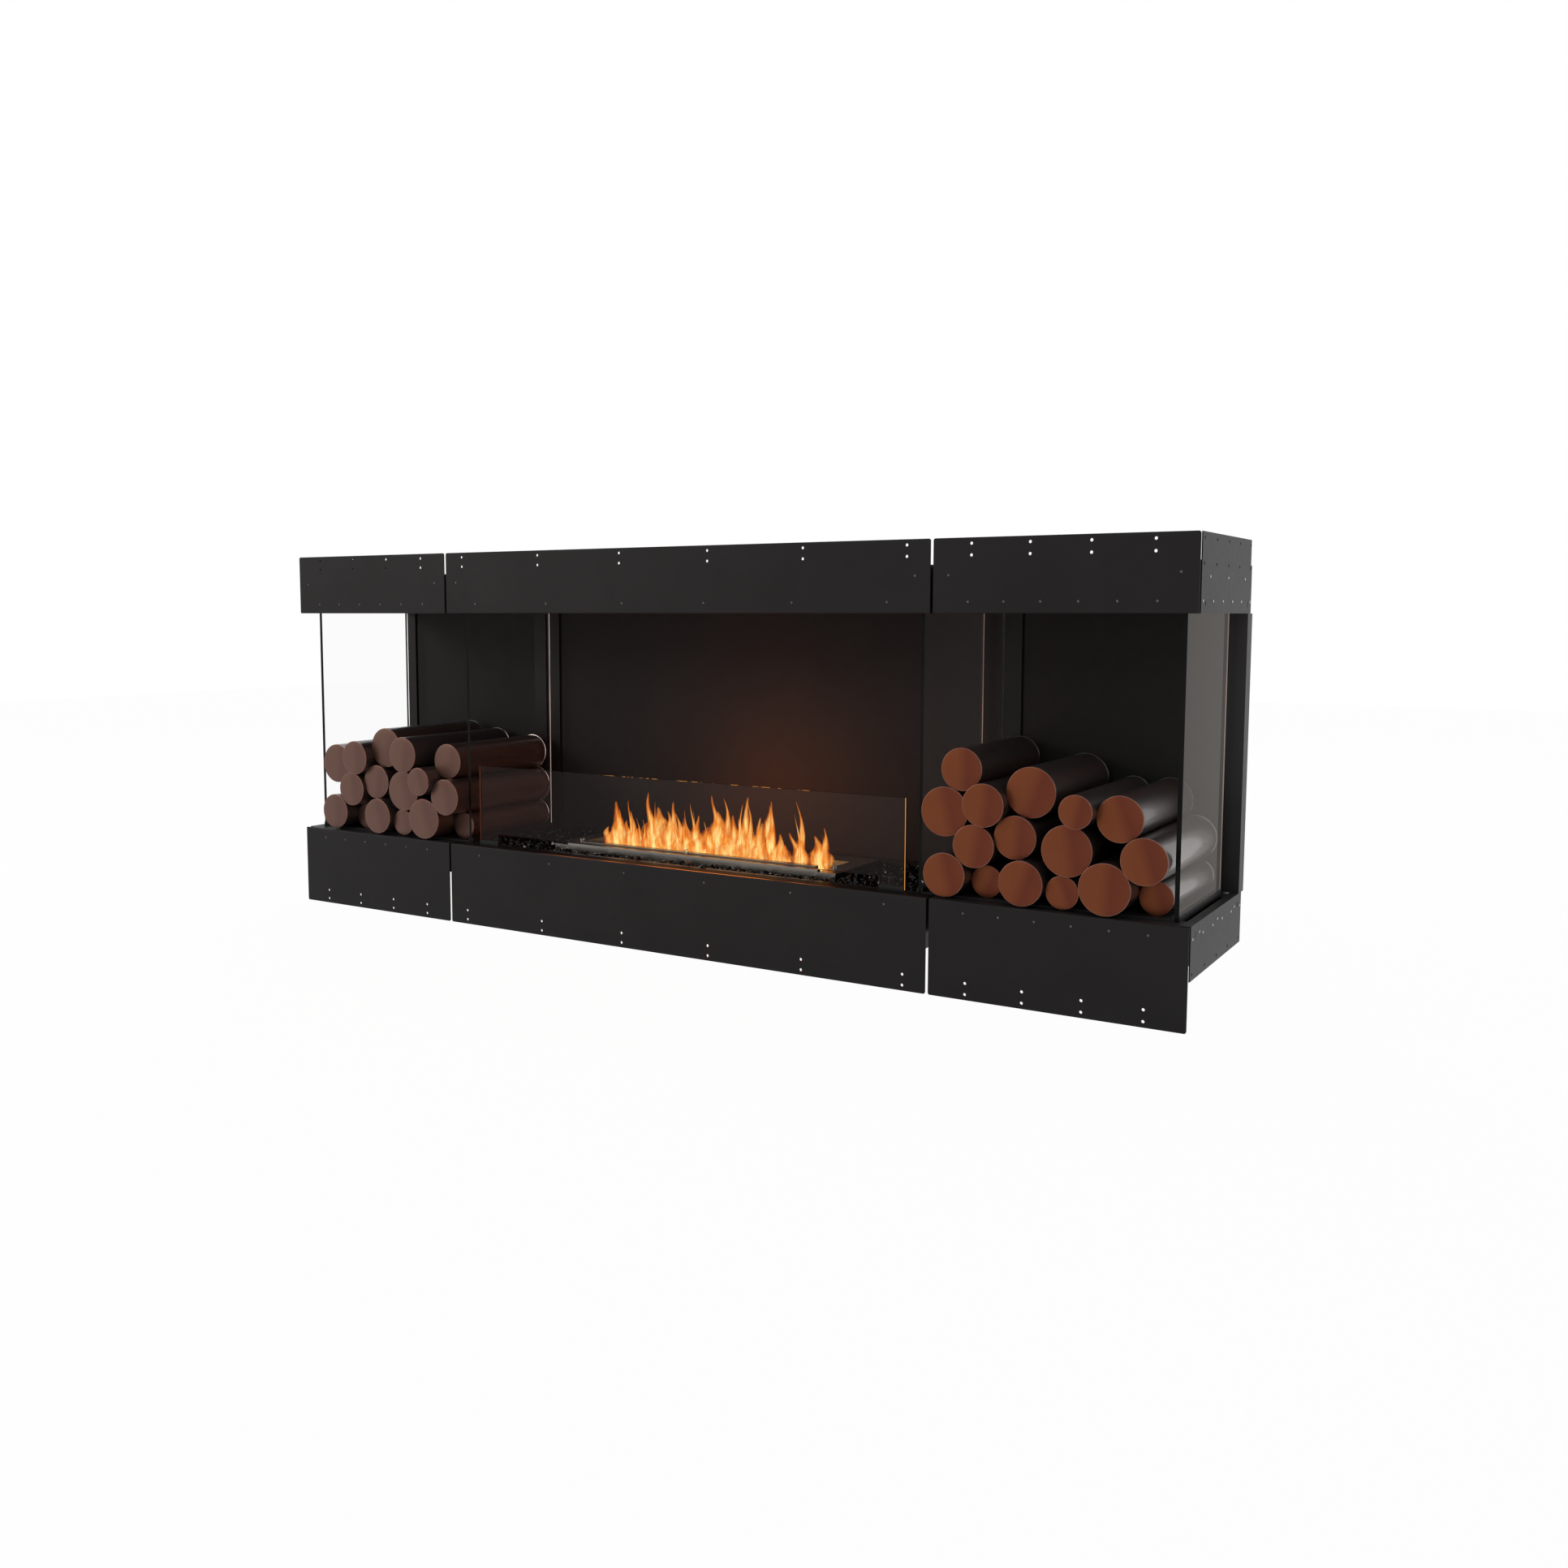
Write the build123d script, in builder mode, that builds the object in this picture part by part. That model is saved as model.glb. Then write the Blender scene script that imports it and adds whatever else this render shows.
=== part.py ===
from build123d import *
import os
from math import cos, hypot, radians, sin, sqrt

os.makedirs("parts", exist_ok=True)

# A built-in three-sided fireplace: a burner bay in the middle with a log box on each side.
# Millimetres. X runs left to right, Y from the front face to the back, Z up.
# The origin lies on the underside of the centre base tray, in the middle of width and depth.

# Overall sizes
overall_width = 2064
overall_depth = 375
box_rear_inset = 15
side_panel_width = 456
module_gap = 5.5
fascia_drop = 83
lower_fascia_height = 175
window_height = 505
header_height = 130
hood_height = 85
side_tray_lift = 27

# Sheet metal
sheet = 2
bend_radius = 2
corner_radius = 4
lip_depth = 34
fit_gap = 0.3
overrun = 10

# Side plates
side_front_setback = 12
side_lip_width = 16
upstand_rear_setback = 8
slot_width = 3
slot_height = 9
slot_inset = 28.5
slot_rise = 11
slot_centre_drop = 18

# Rows of fixing holes in the flanges
fixing_hole_radius = 2.75
fixing_edge_inset = 10
fixing_row_pitch = 20
side_fixing_inset = 70.5
side_fixing_count = 4
centre_fixing_inset = 45.5
centre_fixing_count = 6
end_fixing_inset = 13.3
end_fixing_count = 5
end_fixing_rows = 40.4

# Rivets
rivet_head_radius = 2.3
rivet_head_height = 1
rivet_shank_radius = 1.3
rivet_clearance = 0.1
rivet_row_inset = 20
side_rivet_inset = 65.5
centre_rivet_inset = 83
end_rivet_inset = 10.9
rivet_count = 6
spare_rivet_rise = 66
spare_rivet_inset = 29
end_spare_inset = 53.25
end_spare_count = 3
end_spare_rise = 59.5
end_lower_rivet_drop = 23
end_lower_spare_drop = 18

# Trays
front_flange_depth = 60
centre_front_flange_depth = 42
rear_flange_depth = 60
inner_flange_width = 20

# Rear posts
post_depth = 34
inner_post_width = 36
outer_post_width = 31
centre_post_width = 35
back_panel_step = 4
back_panel_fold = 20
back_seam = 1

# Glass
outer_glass_thickness = 8
divider_glass_thickness = 6
outer_glass_inset = 25.4
divider_inset = 30.5
glass_rear_gap = 29
rail_wall = 2
lower_rail_height = 12
upper_rail_height = 15

# Windscreen
windscreen_end_gap = 27.5
windscreen_thickness = 6
windscreen_setback = 33
windscreen_height = 170
windscreen_leg_width = 51.5
windscreen_leg_height = 21.5
shoe_height = 8
shoe_overhang = 2

# Log box floor
log_floor_height = 3

# Bed of the burner bay
bed_depth = 25
bed_collar_height = 10
granulate_height = 15
granulate_margin = 3

# Burner
burner_end_gap = 194
burner_front_setback = 80
burner_rear_gap = 73
deck_rise = 9
deck_overhang = 3
burner_running_gap = 2
foot_radius = 15
foot_height = 10
foot_inset = 40
well_end_border = 40
well_front_border = 12
well_rear_border = 55
well_depth = 10
flame_slot_end_gap = 6
flame_slot_front_gap = 2
flame_slot_share = 0.24
pad_drop = 20
front_strip_height = 4
front_strip_sheet = 1
stud_radius = 2.5
stud_height = 5
stud_outset = 6.5
stud_pitch = 9
apron_bolt_radius = 3
apron_bolt_drop = 5

# Shut-off lid
lid_front_gap = 1
lid_overlap = 1
lid_sheet = 1.5
lid_running_gap = 0.2
lid_end_gap = 0.5
lid_bar_end_inset = 17.5
lid_bar_front_inset = 9
lid_bar_width = 15
lid_bar_height = 14.3
lid_eye_offset = 12
lid_eye_radius = 4.5
lid_eye_wire = 1
lid_eye_tab_width = 3
lid_eye_tab_height = 8
lid_eye_rise = 2

# Joining hardware between the three boxes
bolt_radius = 3
bolt_head_radius = 5
bolt_head_height = 4
bolt_clearance = 0.1
spacer_radius = 9
joining_front_setback = 80
joining_rear_inset = 70

# Logs: radii as shares of the log box's width, fronts staggered by shares of one distance
large_log_share = 0.0983
middle_log_share = 0.0873
stout_log_share = 0.0846
notch_log_share = 0.0685
small_log_share = 0.0641
floor_place_shares = (0.115, 0.266, 0.437, 0.592, 0.762, 0.922)
log_stagger = 60
floor_stagger_shares = (0.2, 0.77, 0.07, 0.27, 0.03, 0.9)
middle_stagger_shares = (0.22, 0.33, 0.15, 0)
upper_stagger_shares = (0.47, 0.1, 0.47)
right_stagger_shares = (0.17, -0.23, 0.5)
left_stagger_shares = (-0.27, -0.07, 0.37)
shoulder_lean = 34
log_rear_gap = 23
log_wall = 1.5
log_cap_thickness = 2
log_cap_edge = 0.8

# Places worked out from the sizes above
front = -overall_depth / 2
rear = overall_depth / 2
box_front = front + sheet
box_rear = rear - box_rear_inset
lip_rear = front + lip_depth
lower_top = lower_fascia_height - fascia_drop
flange_top = lower_top - sheet
header_bottom = lower_top + window_height
header_top = header_bottom + header_height
hood_base = header_bottom + sheet
hood_top = header_bottom + hood_height
side_outer = overall_width / 2
side_inner = side_outer - side_panel_width
side_box_outer = side_outer - sheet
centre_half = side_inner - module_gap
side_front = front + side_front_setback
outer_glass_face = side_outer - outer_glass_inset
divider_half_spacing = centre_half - divider_inset
log_floor_top = lower_top + log_floor_height
post_front = rear - post_depth

panel_spans = {
    "left": (-side_outer, -side_inner),
    "centre": (-centre_half, centre_half),
    "right": (side_inner, side_outer),
}
box_spans = {
    "left": (-side_box_outer, -side_inner),
    "centre": (-centre_half, centre_half),
    "right": (side_inner, side_box_outer),
}
sides = {"left": -1, "right": 1}


def keep(piece, name):
    """Name a finished piece and write its file."""
    piece.part.label = name
    export_step(piece.part, f"parts/{name}.step")


def block(x_span, y_span, z_span, mode=Mode.ADD):
    """A box between three pairs of limits."""
    spans = [sorted(span) for span in (x_span, y_span, z_span)]
    middle = tuple((low + high) / 2 for low, high in spans)
    with Locations(middle):
        Box(*(high - low for low, high in spans), mode=mode)


def mirrored(sign, inner, outer):
    """A pair of X limits, on the left for a sign of -1 and on the right for 1."""
    return (sign * inner, sign * outer)


def folded_sheet(plane, corners, length):
    """A bent sheet: the middle of its thickness runs through the corners on the plane."""
    with BuildSketch(plane) as profile:
        with BuildLine():
            FilletPolyline(*corners, radius=bend_radius)
        trace(line_width=sheet)
    extrude(profile.sketch, amount=length)


def round_bars(plane, places, radius, length, mode=Mode.ADD):
    """Round bars or holes that start on the plane and run along its normal."""
    with BuildSketch(plane) as ends:
        with Locations(*places):
            Circle(radius)
    extrude(ends.sketch, amount=length, mode=mode)


def row(span, inset, count):
    """Evenly spaced places between two limits, with the same inset at both ends."""
    low, high = span
    pitch = (high - low - 2 * inset) / (count - 1)
    return [low + inset + pitch * step for step in range(count)]


# Rows of holes and rivets in the front panels
def fixing_xs(name):
    if name == "centre":
        return row(panel_spans[name], centre_fixing_inset, centre_fixing_count)
    return row(panel_spans[name], side_fixing_inset, side_fixing_count)


def rivet_xs(name):
    inset = centre_rivet_inset if name == "centre" else side_rivet_inset
    return row(panel_spans[name], inset, rivet_count)


def header_rivets(name):
    spare_z = header_bottom + spare_rivet_rise
    low, high = panel_spans[name]
    spares = [(low + spare_rivet_inset, spare_z), (high - spare_rivet_inset, spare_z)]
    return [(x, header_bottom + rivet_row_inset) for x in rivet_xs(name)] + spares


def lower_rivets(name):
    return [(x, lower_top - rivet_row_inset) for x in rivet_xs(name)]


# Rows of holes and rivets in the side plates, as places along Y and Z
side_plate_span = (side_front, box_rear)
end_fixing_ys = row(side_plate_span, end_fixing_inset, end_fixing_count)
end_rivet_ys = row(side_plate_span, end_rivet_inset, rivet_count)
end_spare_ys = row(side_plate_span, end_spare_inset, end_spare_count)
end_slot_ys = (side_front + slot_inset, box_rear - slot_inset)
end_upper_rivets = [(y, header_bottom + rivet_row_inset) for y in end_rivet_ys]
end_upper_rivets += [(y, header_bottom + end_spare_rise) for y in end_spare_ys]
end_lower_rivets = [(y, lower_top - end_lower_rivet_drop) for y in end_rivet_ys]
end_lower_rivets += [(y, lower_top - end_lower_spare_drop) for y in end_spare_ys]

rivet_hole_radius = rivet_shank_radius + rivet_clearance


def front_holes(places, radius, depth):
    """Holes that run back from the front face at places along X and Z."""
    plane = Plane.XZ.offset(-front + overrun)
    round_bars(plane, places, radius, -depth - overrun, mode=Mode.SUBTRACT)


def end_holes(sign, places, radius, depth):
    """Holes that run inwards from an end face at places along Y and Z."""
    plane = Plane.YZ.offset(sign * (side_outer + overrun))
    round_bars(plane, places, radius, -sign * (depth + overrun), mode=Mode.SUBTRACT)


def cut_lip_end(name, lip_z):
    """Cut a side panel's lip short at the corner, where the side plate's lip begins."""
    if name in sides:
        corner_x = mirrored(sides[name], side_outer - side_lip_width, side_outer)
        block(corner_x, (front + bend_radius + sheet / 2, lip_rear), lip_z, mode=Mode.SUBTRACT)


# Header panels: an upright plate with its lower edge folded back under the hood
for name, (low, high) in panel_spans.items():
    with BuildPart() as header_fascia:
        middle_y = front + sheet / 2
        middle_z = header_bottom + sheet / 2
        corners = ((middle_y, header_top), (middle_y, middle_z), (lip_rear, middle_z))
        folded_sheet(Plane.YZ.offset(low), corners, high - low)
        cut_lip_end(name, (header_bottom, hood_base))
        top_corners = header_fascia.edges().filter_by(Axis.Y).group_by(Axis.Z)[-1]
        fillet(top_corners, corner_radius)
        rows = (header_top - fixing_edge_inset, header_top - fixing_edge_inset - fixing_row_pitch)
        places = [(x, z) for x in fixing_xs(name) for z in rows]
        front_holes(places, fixing_hole_radius, sheet)
        front_holes(header_rivets(name), rivet_hole_radius, sheet)
    keep(header_fascia, f"header_fascia_{name}")

# Lower panels: an upright plate with its upper edge folded back over the tray
for name, (low, high) in panel_spans.items():
    with BuildPart() as lower_fascia:
        middle_y = front + sheet / 2
        middle_z = lower_top - sheet / 2
        corners = ((middle_y, -fascia_drop), (middle_y, middle_z), (lip_rear, middle_z))
        folded_sheet(Plane.YZ.offset(low), corners, high - low)
        cut_lip_end(name, (flange_top, lower_top))
        bottom_corners = lower_fascia.edges().filter_by(Axis.Y).group_by(Axis.Z)[0]
        fillet(bottom_corners, corner_radius)
        rows = (fixing_edge_inset - fascia_drop, fixing_edge_inset + fixing_row_pitch - fascia_drop)
        places = [(x, z) for x in fixing_xs(name) for z in rows]
        front_holes(places, fixing_hole_radius, sheet)
        front_holes(lower_rivets(name), rivet_hole_radius, sheet)
    keep(lower_fascia, f"lower_fascia_{name}")

# Side plates: the upper ones stand beside the hoods, the lower ones beside the trays
for name, sign in sides.items():
    inner_x = side_outer - side_lip_width
    with BuildPart() as header_side:
        plate_x = mirrored(sign, side_box_outer, side_outer)
        block(plate_x, side_plate_span, (header_bottom, hood_top))
        upstand_rear = box_rear - upstand_rear_setback
        block(plate_x, (side_front, upstand_rear), (hood_top, header_top))
        lip_x = mirrored(sign, inner_x, side_outer)
        block(lip_x, side_plate_span, (header_bottom, hood_base))
        rows = (header_top - fixing_edge_inset, header_top - fixing_edge_inset - end_fixing_rows)
        places = [(y, z) for y in end_fixing_ys for z in rows]
        end_holes(sign, places, fixing_hole_radius, sheet)
        end_holes(sign, end_upper_rivets, rivet_hole_radius, sheet)
        for y in end_slot_ys:
            slot_y = (y - slot_width / 2, y + slot_width / 2)
            slot_bottom = header_bottom + slot_rise
            block(plate_x, slot_y, (slot_bottom, slot_bottom + slot_height), mode=Mode.SUBTRACT)
    keep(header_side, f"header_side_{name}")

    with BuildPart() as lower_side:
        block(plate_x, side_plate_span, (0, lower_top))
        block(lip_x, side_plate_span, (flange_top, lower_top))
        places = [(y, fixing_edge_inset) for y in end_fixing_ys]
        end_holes(sign, places, fixing_hole_radius, sheet)
        end_holes(sign, end_lower_rivets, rivet_hole_radius, sheet)
        for y in end_slot_ys:
            slot_y = (y - slot_width / 2, y + slot_width / 2)
            slot_top = lower_top - slot_centre_drop + slot_height / 2
            block(plate_x, slot_y, (slot_top - slot_height, slot_top), mode=Mode.SUBTRACT)
    keep(lower_side, f"lower_side_{name}")

# Places of the bolts that join neighbouring boxes, along Y and Z
joining_ys = (front + joining_front_setback, box_rear - joining_rear_inset)
joining_zs = ((side_tray_lift + flange_top) / 2, (hood_base + hood_top) / 2)
joining_places = [(y, z) for y in joining_ys for z in joining_zs]


def joining_holes(sign):
    """Holes through both walls beside a gap between two boxes."""
    reach = sheet + overrun / 2
    plane = Plane.YZ.offset(sign * centre_half - reach)
    length = module_gap + 2 * reach
    start = plane if sign > 0 else plane.offset(-module_gap)
    round_bars(start, joining_places, bolt_radius + bolt_clearance, length, mode=Mode.SUBTRACT)


# Hoods: pans turned upside down behind the header panels
for name, (low, high) in box_spans.items():
    with BuildPart() as hood:
        block((low, high), (box_front, box_rear), (hood_base, hood_top))
        inner_y = (box_front + sheet, box_rear - sheet)
        block((low + sheet, high - sheet), inner_y, (hood_base, hood_top - sheet), mode=Mode.SUBTRACT)
        front_edges = hood.edges().filter_by(Axis.X).group_by(Axis.Y)[0]
        fillet(front_edges.sort_by(Axis.Z)[0], bend_radius - fit_gap)
        front_holes(header_rivets(name), rivet_hole_radius, 2 * sheet)
        for side, sign in sides.items():
            if name in (side, "centre"):
                joining_holes(sign)
            if name == side:
                end_holes(sign, end_upper_rivets, rivet_hole_radius, 2 * sheet)
    keep(hood, f"hood_{name}")

# Ceilings: plates that close the hoods, slotted for the upper glass rails
outer_rail_x = (outer_glass_face - outer_glass_thickness - rail_wall, outer_glass_face + rail_wall)
divider_rail_x = (
    divider_half_spacing - rail_wall,
    divider_half_spacing + divider_glass_thickness + rail_wall,
)
glass_y = (lip_rear, post_front - glass_rear_gap)

for name, (low, high) in box_spans.items():
    with BuildPart() as ceiling:
        left = low if name != "left" else -side_outer + side_lip_width
        right = high if name != "right" else side_outer - side_lip_width
        plate_z = (header_bottom, hood_base)
        block((left, right), (lip_rear, box_rear), plate_z)
        for side, sign in sides.items():
            if name == side:
                block(mirrored(sign, *outer_rail_x), glass_y, plate_z, mode=Mode.SUBTRACT)
            if name == "centre":
                block(mirrored(sign, *divider_rail_x), glass_y, plate_z, mode=Mode.SUBTRACT)
    keep(ceiling, f"ceiling_{name}")

# Base trays: folded boxes with a wide window in the top
for name, (low, high) in box_spans.items():
    centre = name == "centre"
    bottom = 0 if centre else side_tray_lift
    front_flange = centre_front_flange_depth if centre else front_flange_depth
    with BuildPart() as base_tray:
        block((low, high), (box_front, box_rear), (bottom, flange_top))
        inner_y = (box_front + sheet, box_rear - sheet)
        inner_z = (bottom + sheet, flange_top - sheet)
        block((low + sheet, high - sheet), inner_y, inner_z, mode=Mode.SUBTRACT)
        window_y = (front + front_flange, box_rear - rear_flange_depth)
        left = -side_outer + side_lip_width if name == "left" else low + inner_flange_width
        right = side_outer - side_lip_width if name == "right" else high - inner_flange_width
        block((left, right), window_y, (flange_top - sheet, flange_top), mode=Mode.SUBTRACT)
        front_edges = base_tray.edges().filter_by(Axis.X).group_by(Axis.Y)[0]
        fillet(front_edges.sort_by(Axis.Z)[-1], bend_radius - fit_gap)
        front_holes(lower_rivets(name), rivet_hole_radius, 2 * sheet)
        for side, sign in sides.items():
            if name in (side, "centre"):
                joining_holes(sign)
            if name == side:
                end_holes(sign, end_lower_rivets, rivet_hole_radius, 2 * sheet)
    keep(base_tray, f"base_tray_{name}")

# Bolts, nuts and spacers that join the boxes
with BuildPart() as joining_spacers:
    for sign in sides.values():
        start = Plane.YZ.offset(sign * centre_half)
        round_bars(start, joining_places, spacer_radius, sign * module_gap)
        round_bars(start, joining_places, bolt_radius + bolt_clearance, sign * module_gap, mode=Mode.SUBTRACT)
keep(joining_spacers, "joining_spacers")

with BuildPart() as joining_bolts:
    for sign in sides.values():
        head_plane = Plane.YZ.offset(sign * (centre_half - sheet))
        nut_plane = Plane.YZ.offset(sign * (side_inner + sheet))
        round_bars(head_plane, joining_places, bolt_radius, sign * (module_gap + 2 * sheet))
        round_bars(head_plane, joining_places, bolt_head_radius, -sign * bolt_head_height)
        round_bars(nut_plane, joining_places, bolt_head_radius, sign * bolt_head_height)
keep(joining_bolts, "joining_bolts")

# Rear posts: folded channels, open to the back, that carry the hoods
post_spans = {
    "post_left_outer": (-side_outer, -side_outer + outer_post_width),
    "post_left_inner": (-side_inner - inner_post_width, -side_inner),
    "post_centre_left": (-centre_half, -centre_half + centre_post_width),
    "post_centre_right": (centre_half - centre_post_width, centre_half),
    "post_right_inner": (side_inner, side_inner + inner_post_width),
    "post_right_outer": (side_outer - outer_post_width, side_outer),
}

for name, (low, high) in post_spans.items():
    foot = lower_top if name.endswith("outer") else flange_top
    with BuildPart() as post:
        block((low, high), (post_front, rear), (foot, header_bottom))
        hollow_y = (post_front + sheet, rear)
        block((low + sheet, high - sheet), hollow_y, (foot, header_bottom), mode=Mode.SUBTRACT)
    keep(post, name)

# Back panels: sheets between the posts with their side edges folded back
panel_edges = {
    "left": (post_spans["post_left_outer"][1], post_spans["post_left_inner"][0]),
    "centre": (post_spans["post_centre_left"][1], post_spans["post_centre_right"][0]),
    "right": (post_spans["post_right_inner"][1], post_spans["post_right_outer"][0]),
}

for name, (low, high) in panel_edges.items():
    with BuildPart() as back_panel:
        left = low + back_seam + sheet / 2
        right = high - back_seam - sheet / 2
        face_y = post_front + back_panel_step + sheet / 2
        fold_y = face_y + back_panel_fold
        corners = ((left, fold_y), (left, face_y), (right, face_y), (right, fold_y))
        folded_sheet(Plane.XY.offset(flange_top), corners, header_bottom - flange_top)
    keep(back_panel, f"back_panel_{name}")

# Glass panes: the outer ones close the ends, the dividers part the burner from the logs
glass_z = (flange_top + rail_wall, header_bottom + upper_rail_height - rail_wall)
outer_glass_x = (outer_glass_face - outer_glass_thickness, outer_glass_face)
divider_glass_x = (divider_half_spacing, divider_half_spacing + divider_glass_thickness)

for name, sign in sides.items():
    with BuildPart() as outer_glass:
        block(mirrored(sign, *outer_glass_x), glass_y, glass_z)
    keep(outer_glass, f"outer_glass_{name}")

    with BuildPart() as divider_glass:
        block(mirrored(sign, *divider_glass_x), glass_y, glass_z)
    keep(divider_glass, f"divider_glass_{name}")


def glass_rails(rail_x, pane_x):
    """Channels that hold the lower and upper edges of both panes of a pair."""
    lower_z = (flange_top, flange_top + lower_rail_height)
    upper_z = (header_bottom, header_bottom + upper_rail_height)
    for sign in sides.values():
        block(mirrored(sign, *rail_x), glass_y, lower_z)
        block(mirrored(sign, *rail_x), glass_y, upper_z)
    for sign in sides.values():
        block(mirrored(sign, *pane_x), glass_y, glass_z, mode=Mode.SUBTRACT)


with BuildPart() as outer_glass_rails:
    glass_rails(outer_rail_x, outer_glass_x)
keep(outer_glass_rails, "outer_glass_rails")

with BuildPart() as divider_glass_rails:
    glass_rails(divider_rail_x, divider_glass_x)
keep(divider_glass_rails, "divider_glass_rails")

# Log box floors: shallow pans turned upside down, between the glass rails
for name, sign in sides.items():
    with BuildPart() as log_floor:
        floor_x = (divider_rail_x[1] + fit_gap, outer_rail_x[0] - fit_gap)
        floor_y = (lip_rear + fit_gap, post_front - fit_gap)
        block(mirrored(sign, *floor_x), floor_y, (flange_top, log_floor_top))
        hollow_x = (floor_x[0] + sheet, floor_x[1] - sheet)
        hollow_y = (floor_y[0] + sheet, floor_y[1] - sheet)
        hollow_z = (flange_top, log_floor_top - sheet)
        block(mirrored(sign, *hollow_x), hollow_y, hollow_z, mode=Mode.SUBTRACT)
    keep(log_floor, f"log_floor_{name}")

# Burner places
burner_half_length = divider_half_spacing - burner_end_gap
burner_front = front + burner_front_setback
burner_rear = post_front - burner_rear_gap
deck_top = lower_top + deck_rise
casing_top = deck_top - sheet
casing_half = burner_half_length - deck_overhang
casing_y = (burner_front + deck_overhang, burner_rear - deck_overhang)
opening_half = casing_half + burner_running_gap
opening_y = (casing_y[0] - burner_running_gap, casing_y[1] + burner_running_gap)
collar_half = opening_half + sheet
collar_y = (opening_y[0] - sheet, opening_y[1] + sheet)
bed_half = divider_rail_x[0] - fit_gap
bed_floor = lower_top - bed_depth
pan_y = (
    front + centre_front_flange_depth + fit_gap,
    box_rear - rear_flange_depth - fit_gap,
)

# Bed pan: hangs by its rims on the tray's flanges, with a collared opening for the burner
with BuildPart() as bed_pan:
    block((-bed_half, bed_half), (lip_rear, post_front - fit_gap), (flange_top, lower_top))
    block((-bed_half, bed_half), pan_y, (bed_floor - sheet, flange_top))
    inner_half = bed_half - sheet
    inner_y = (pan_y[0] + sheet, pan_y[1] - sheet)
    block((-inner_half, inner_half), inner_y, (bed_floor, lower_top), mode=Mode.SUBTRACT)
    collar_top = bed_floor + bed_collar_height
    block((-collar_half, collar_half), collar_y, (bed_floor - sheet, collar_top))
    opening_z = (bed_floor - sheet, collar_top)
    block((-opening_half, opening_half), opening_y, opening_z, mode=Mode.SUBTRACT)
keep(bed_pan, "bed_pan")

# Black glass granulate: a loose layer round the burner
with BuildPart() as granulate:
    layer_half = inner_half - fit_gap
    layer_y = (inner_y[0] + fit_gap, inner_y[1] - fit_gap)
    layer_z = (bed_floor, bed_floor + granulate_height)
    block((-layer_half, layer_half), layer_y, layer_z)
    hole_half = collar_half + granulate_margin
    hole_y = (collar_y[0] - granulate_margin, collar_y[1] + granulate_margin)
    block((-hole_half, hole_half), hole_y, layer_z, mode=Mode.SUBTRACT)
keep(granulate, "glass_granulate")

# Windscreen: a low pane on two legs that stand in shoes on the lip
windscreen_half_width = divider_half_spacing - windscreen_end_gap
screen_y = (front + windscreen_setback, front + windscreen_setback + windscreen_thickness)
screen_bottom = lower_top + sheet
screen_top = lower_top + windscreen_height + sheet
leg_inner = windscreen_half_width - windscreen_leg_width

with BuildPart() as windscreen:
    block((-windscreen_half_width, windscreen_half_width), screen_y, (screen_bottom, screen_top))
    gap_top = screen_bottom + windscreen_leg_height
    block((-leg_inner, leg_inner), screen_y, (screen_bottom, gap_top), mode=Mode.SUBTRACT)
keep(windscreen, "windscreen_glass")

with BuildPart() as windscreen_shoes:
    groove_y = (screen_y[0] - fit_gap, screen_y[1] + fit_gap)
    shoe_y = (groove_y[0] - shoe_overhang, groove_y[1] + shoe_overhang)
    for sign in sides.values():
        shoe_x = mirrored(sign, leg_inner, windscreen_half_width)
        block(shoe_x, shoe_y, (lower_top, lower_top + shoe_height))
        block(shoe_x, groove_y, (screen_bottom, lower_top + shoe_height), mode=Mode.SUBTRACT)
keep(windscreen_shoes, "windscreen_shoes")

# Burner casing: an open box that stands on rubber feet in the centre tray
casing_bottom = sheet + foot_height

with BuildPart() as burner_casing:
    block((-casing_half, casing_half), casing_y, (casing_bottom, casing_top))
    inner_half = casing_half - sheet
    inner_y = (casing_y[0] + sheet, casing_y[1] - sheet)
    block((-inner_half, inner_half), inner_y, (casing_bottom + sheet, casing_top), mode=Mode.SUBTRACT)
keep(burner_casing, "burner_casing")

with BuildPart() as burner_feet:
    foot_x = casing_half - foot_inset
    foot_ys = (casing_y[0] + foot_inset, casing_y[1] - foot_inset)
    places = [(sign * foot_x, y) for sign in sides.values() for y in foot_ys]
    round_bars(Plane.XY.offset(sheet), places, foot_radius, foot_height)
keep(burner_feet, "burner_feet")

# Well: a shallow pan under the deck opening, with the flame slot in its floor
well_half_length = burner_half_length - well_end_border
well_y = (burner_front + well_front_border, burner_rear - well_rear_border)
well_floor = deck_top - well_depth
flame_slot_width = flame_slot_share * (well_y[1] - well_y[0])
lid_front = well_y[0] + lid_front_gap
lid_y = (lid_front, lid_front + flame_slot_width + 2 * lid_overlap)
slot_front = lid_y[1] + flame_slot_front_gap
slot_y = (slot_front, slot_front + flame_slot_width)

with BuildPart() as flame_well:
    outer_half = well_half_length + sheet
    outer_y = (well_y[0] - sheet, well_y[1] + sheet)
    block((-outer_half, outer_half), outer_y, (well_floor - sheet, casing_top))
    well_z = (well_floor, casing_top)
    block((-well_half_length, well_half_length), well_y, well_z, mode=Mode.SUBTRACT)
    slot_z = (well_floor - sheet, well_floor)
    slot_half = well_half_length - flame_slot_end_gap
    block((-slot_half, slot_half), slot_y, slot_z, mode=Mode.SUBTRACT)
keep(flame_well, "flame_well")

# Fuel tank under the well, and the fibre pad that soaks up the fuel
with BuildPart() as fuel_tank:
    tank_z = (casing_bottom + sheet, well_floor - sheet)
    block((-outer_half, outer_half), outer_y, tank_z)
    inner_z = (tank_z[0] + sheet, tank_z[1])
    block((-well_half_length, well_half_length), well_y, inner_z, mode=Mode.SUBTRACT)
keep(fuel_tank, "fuel_tank")

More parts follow.
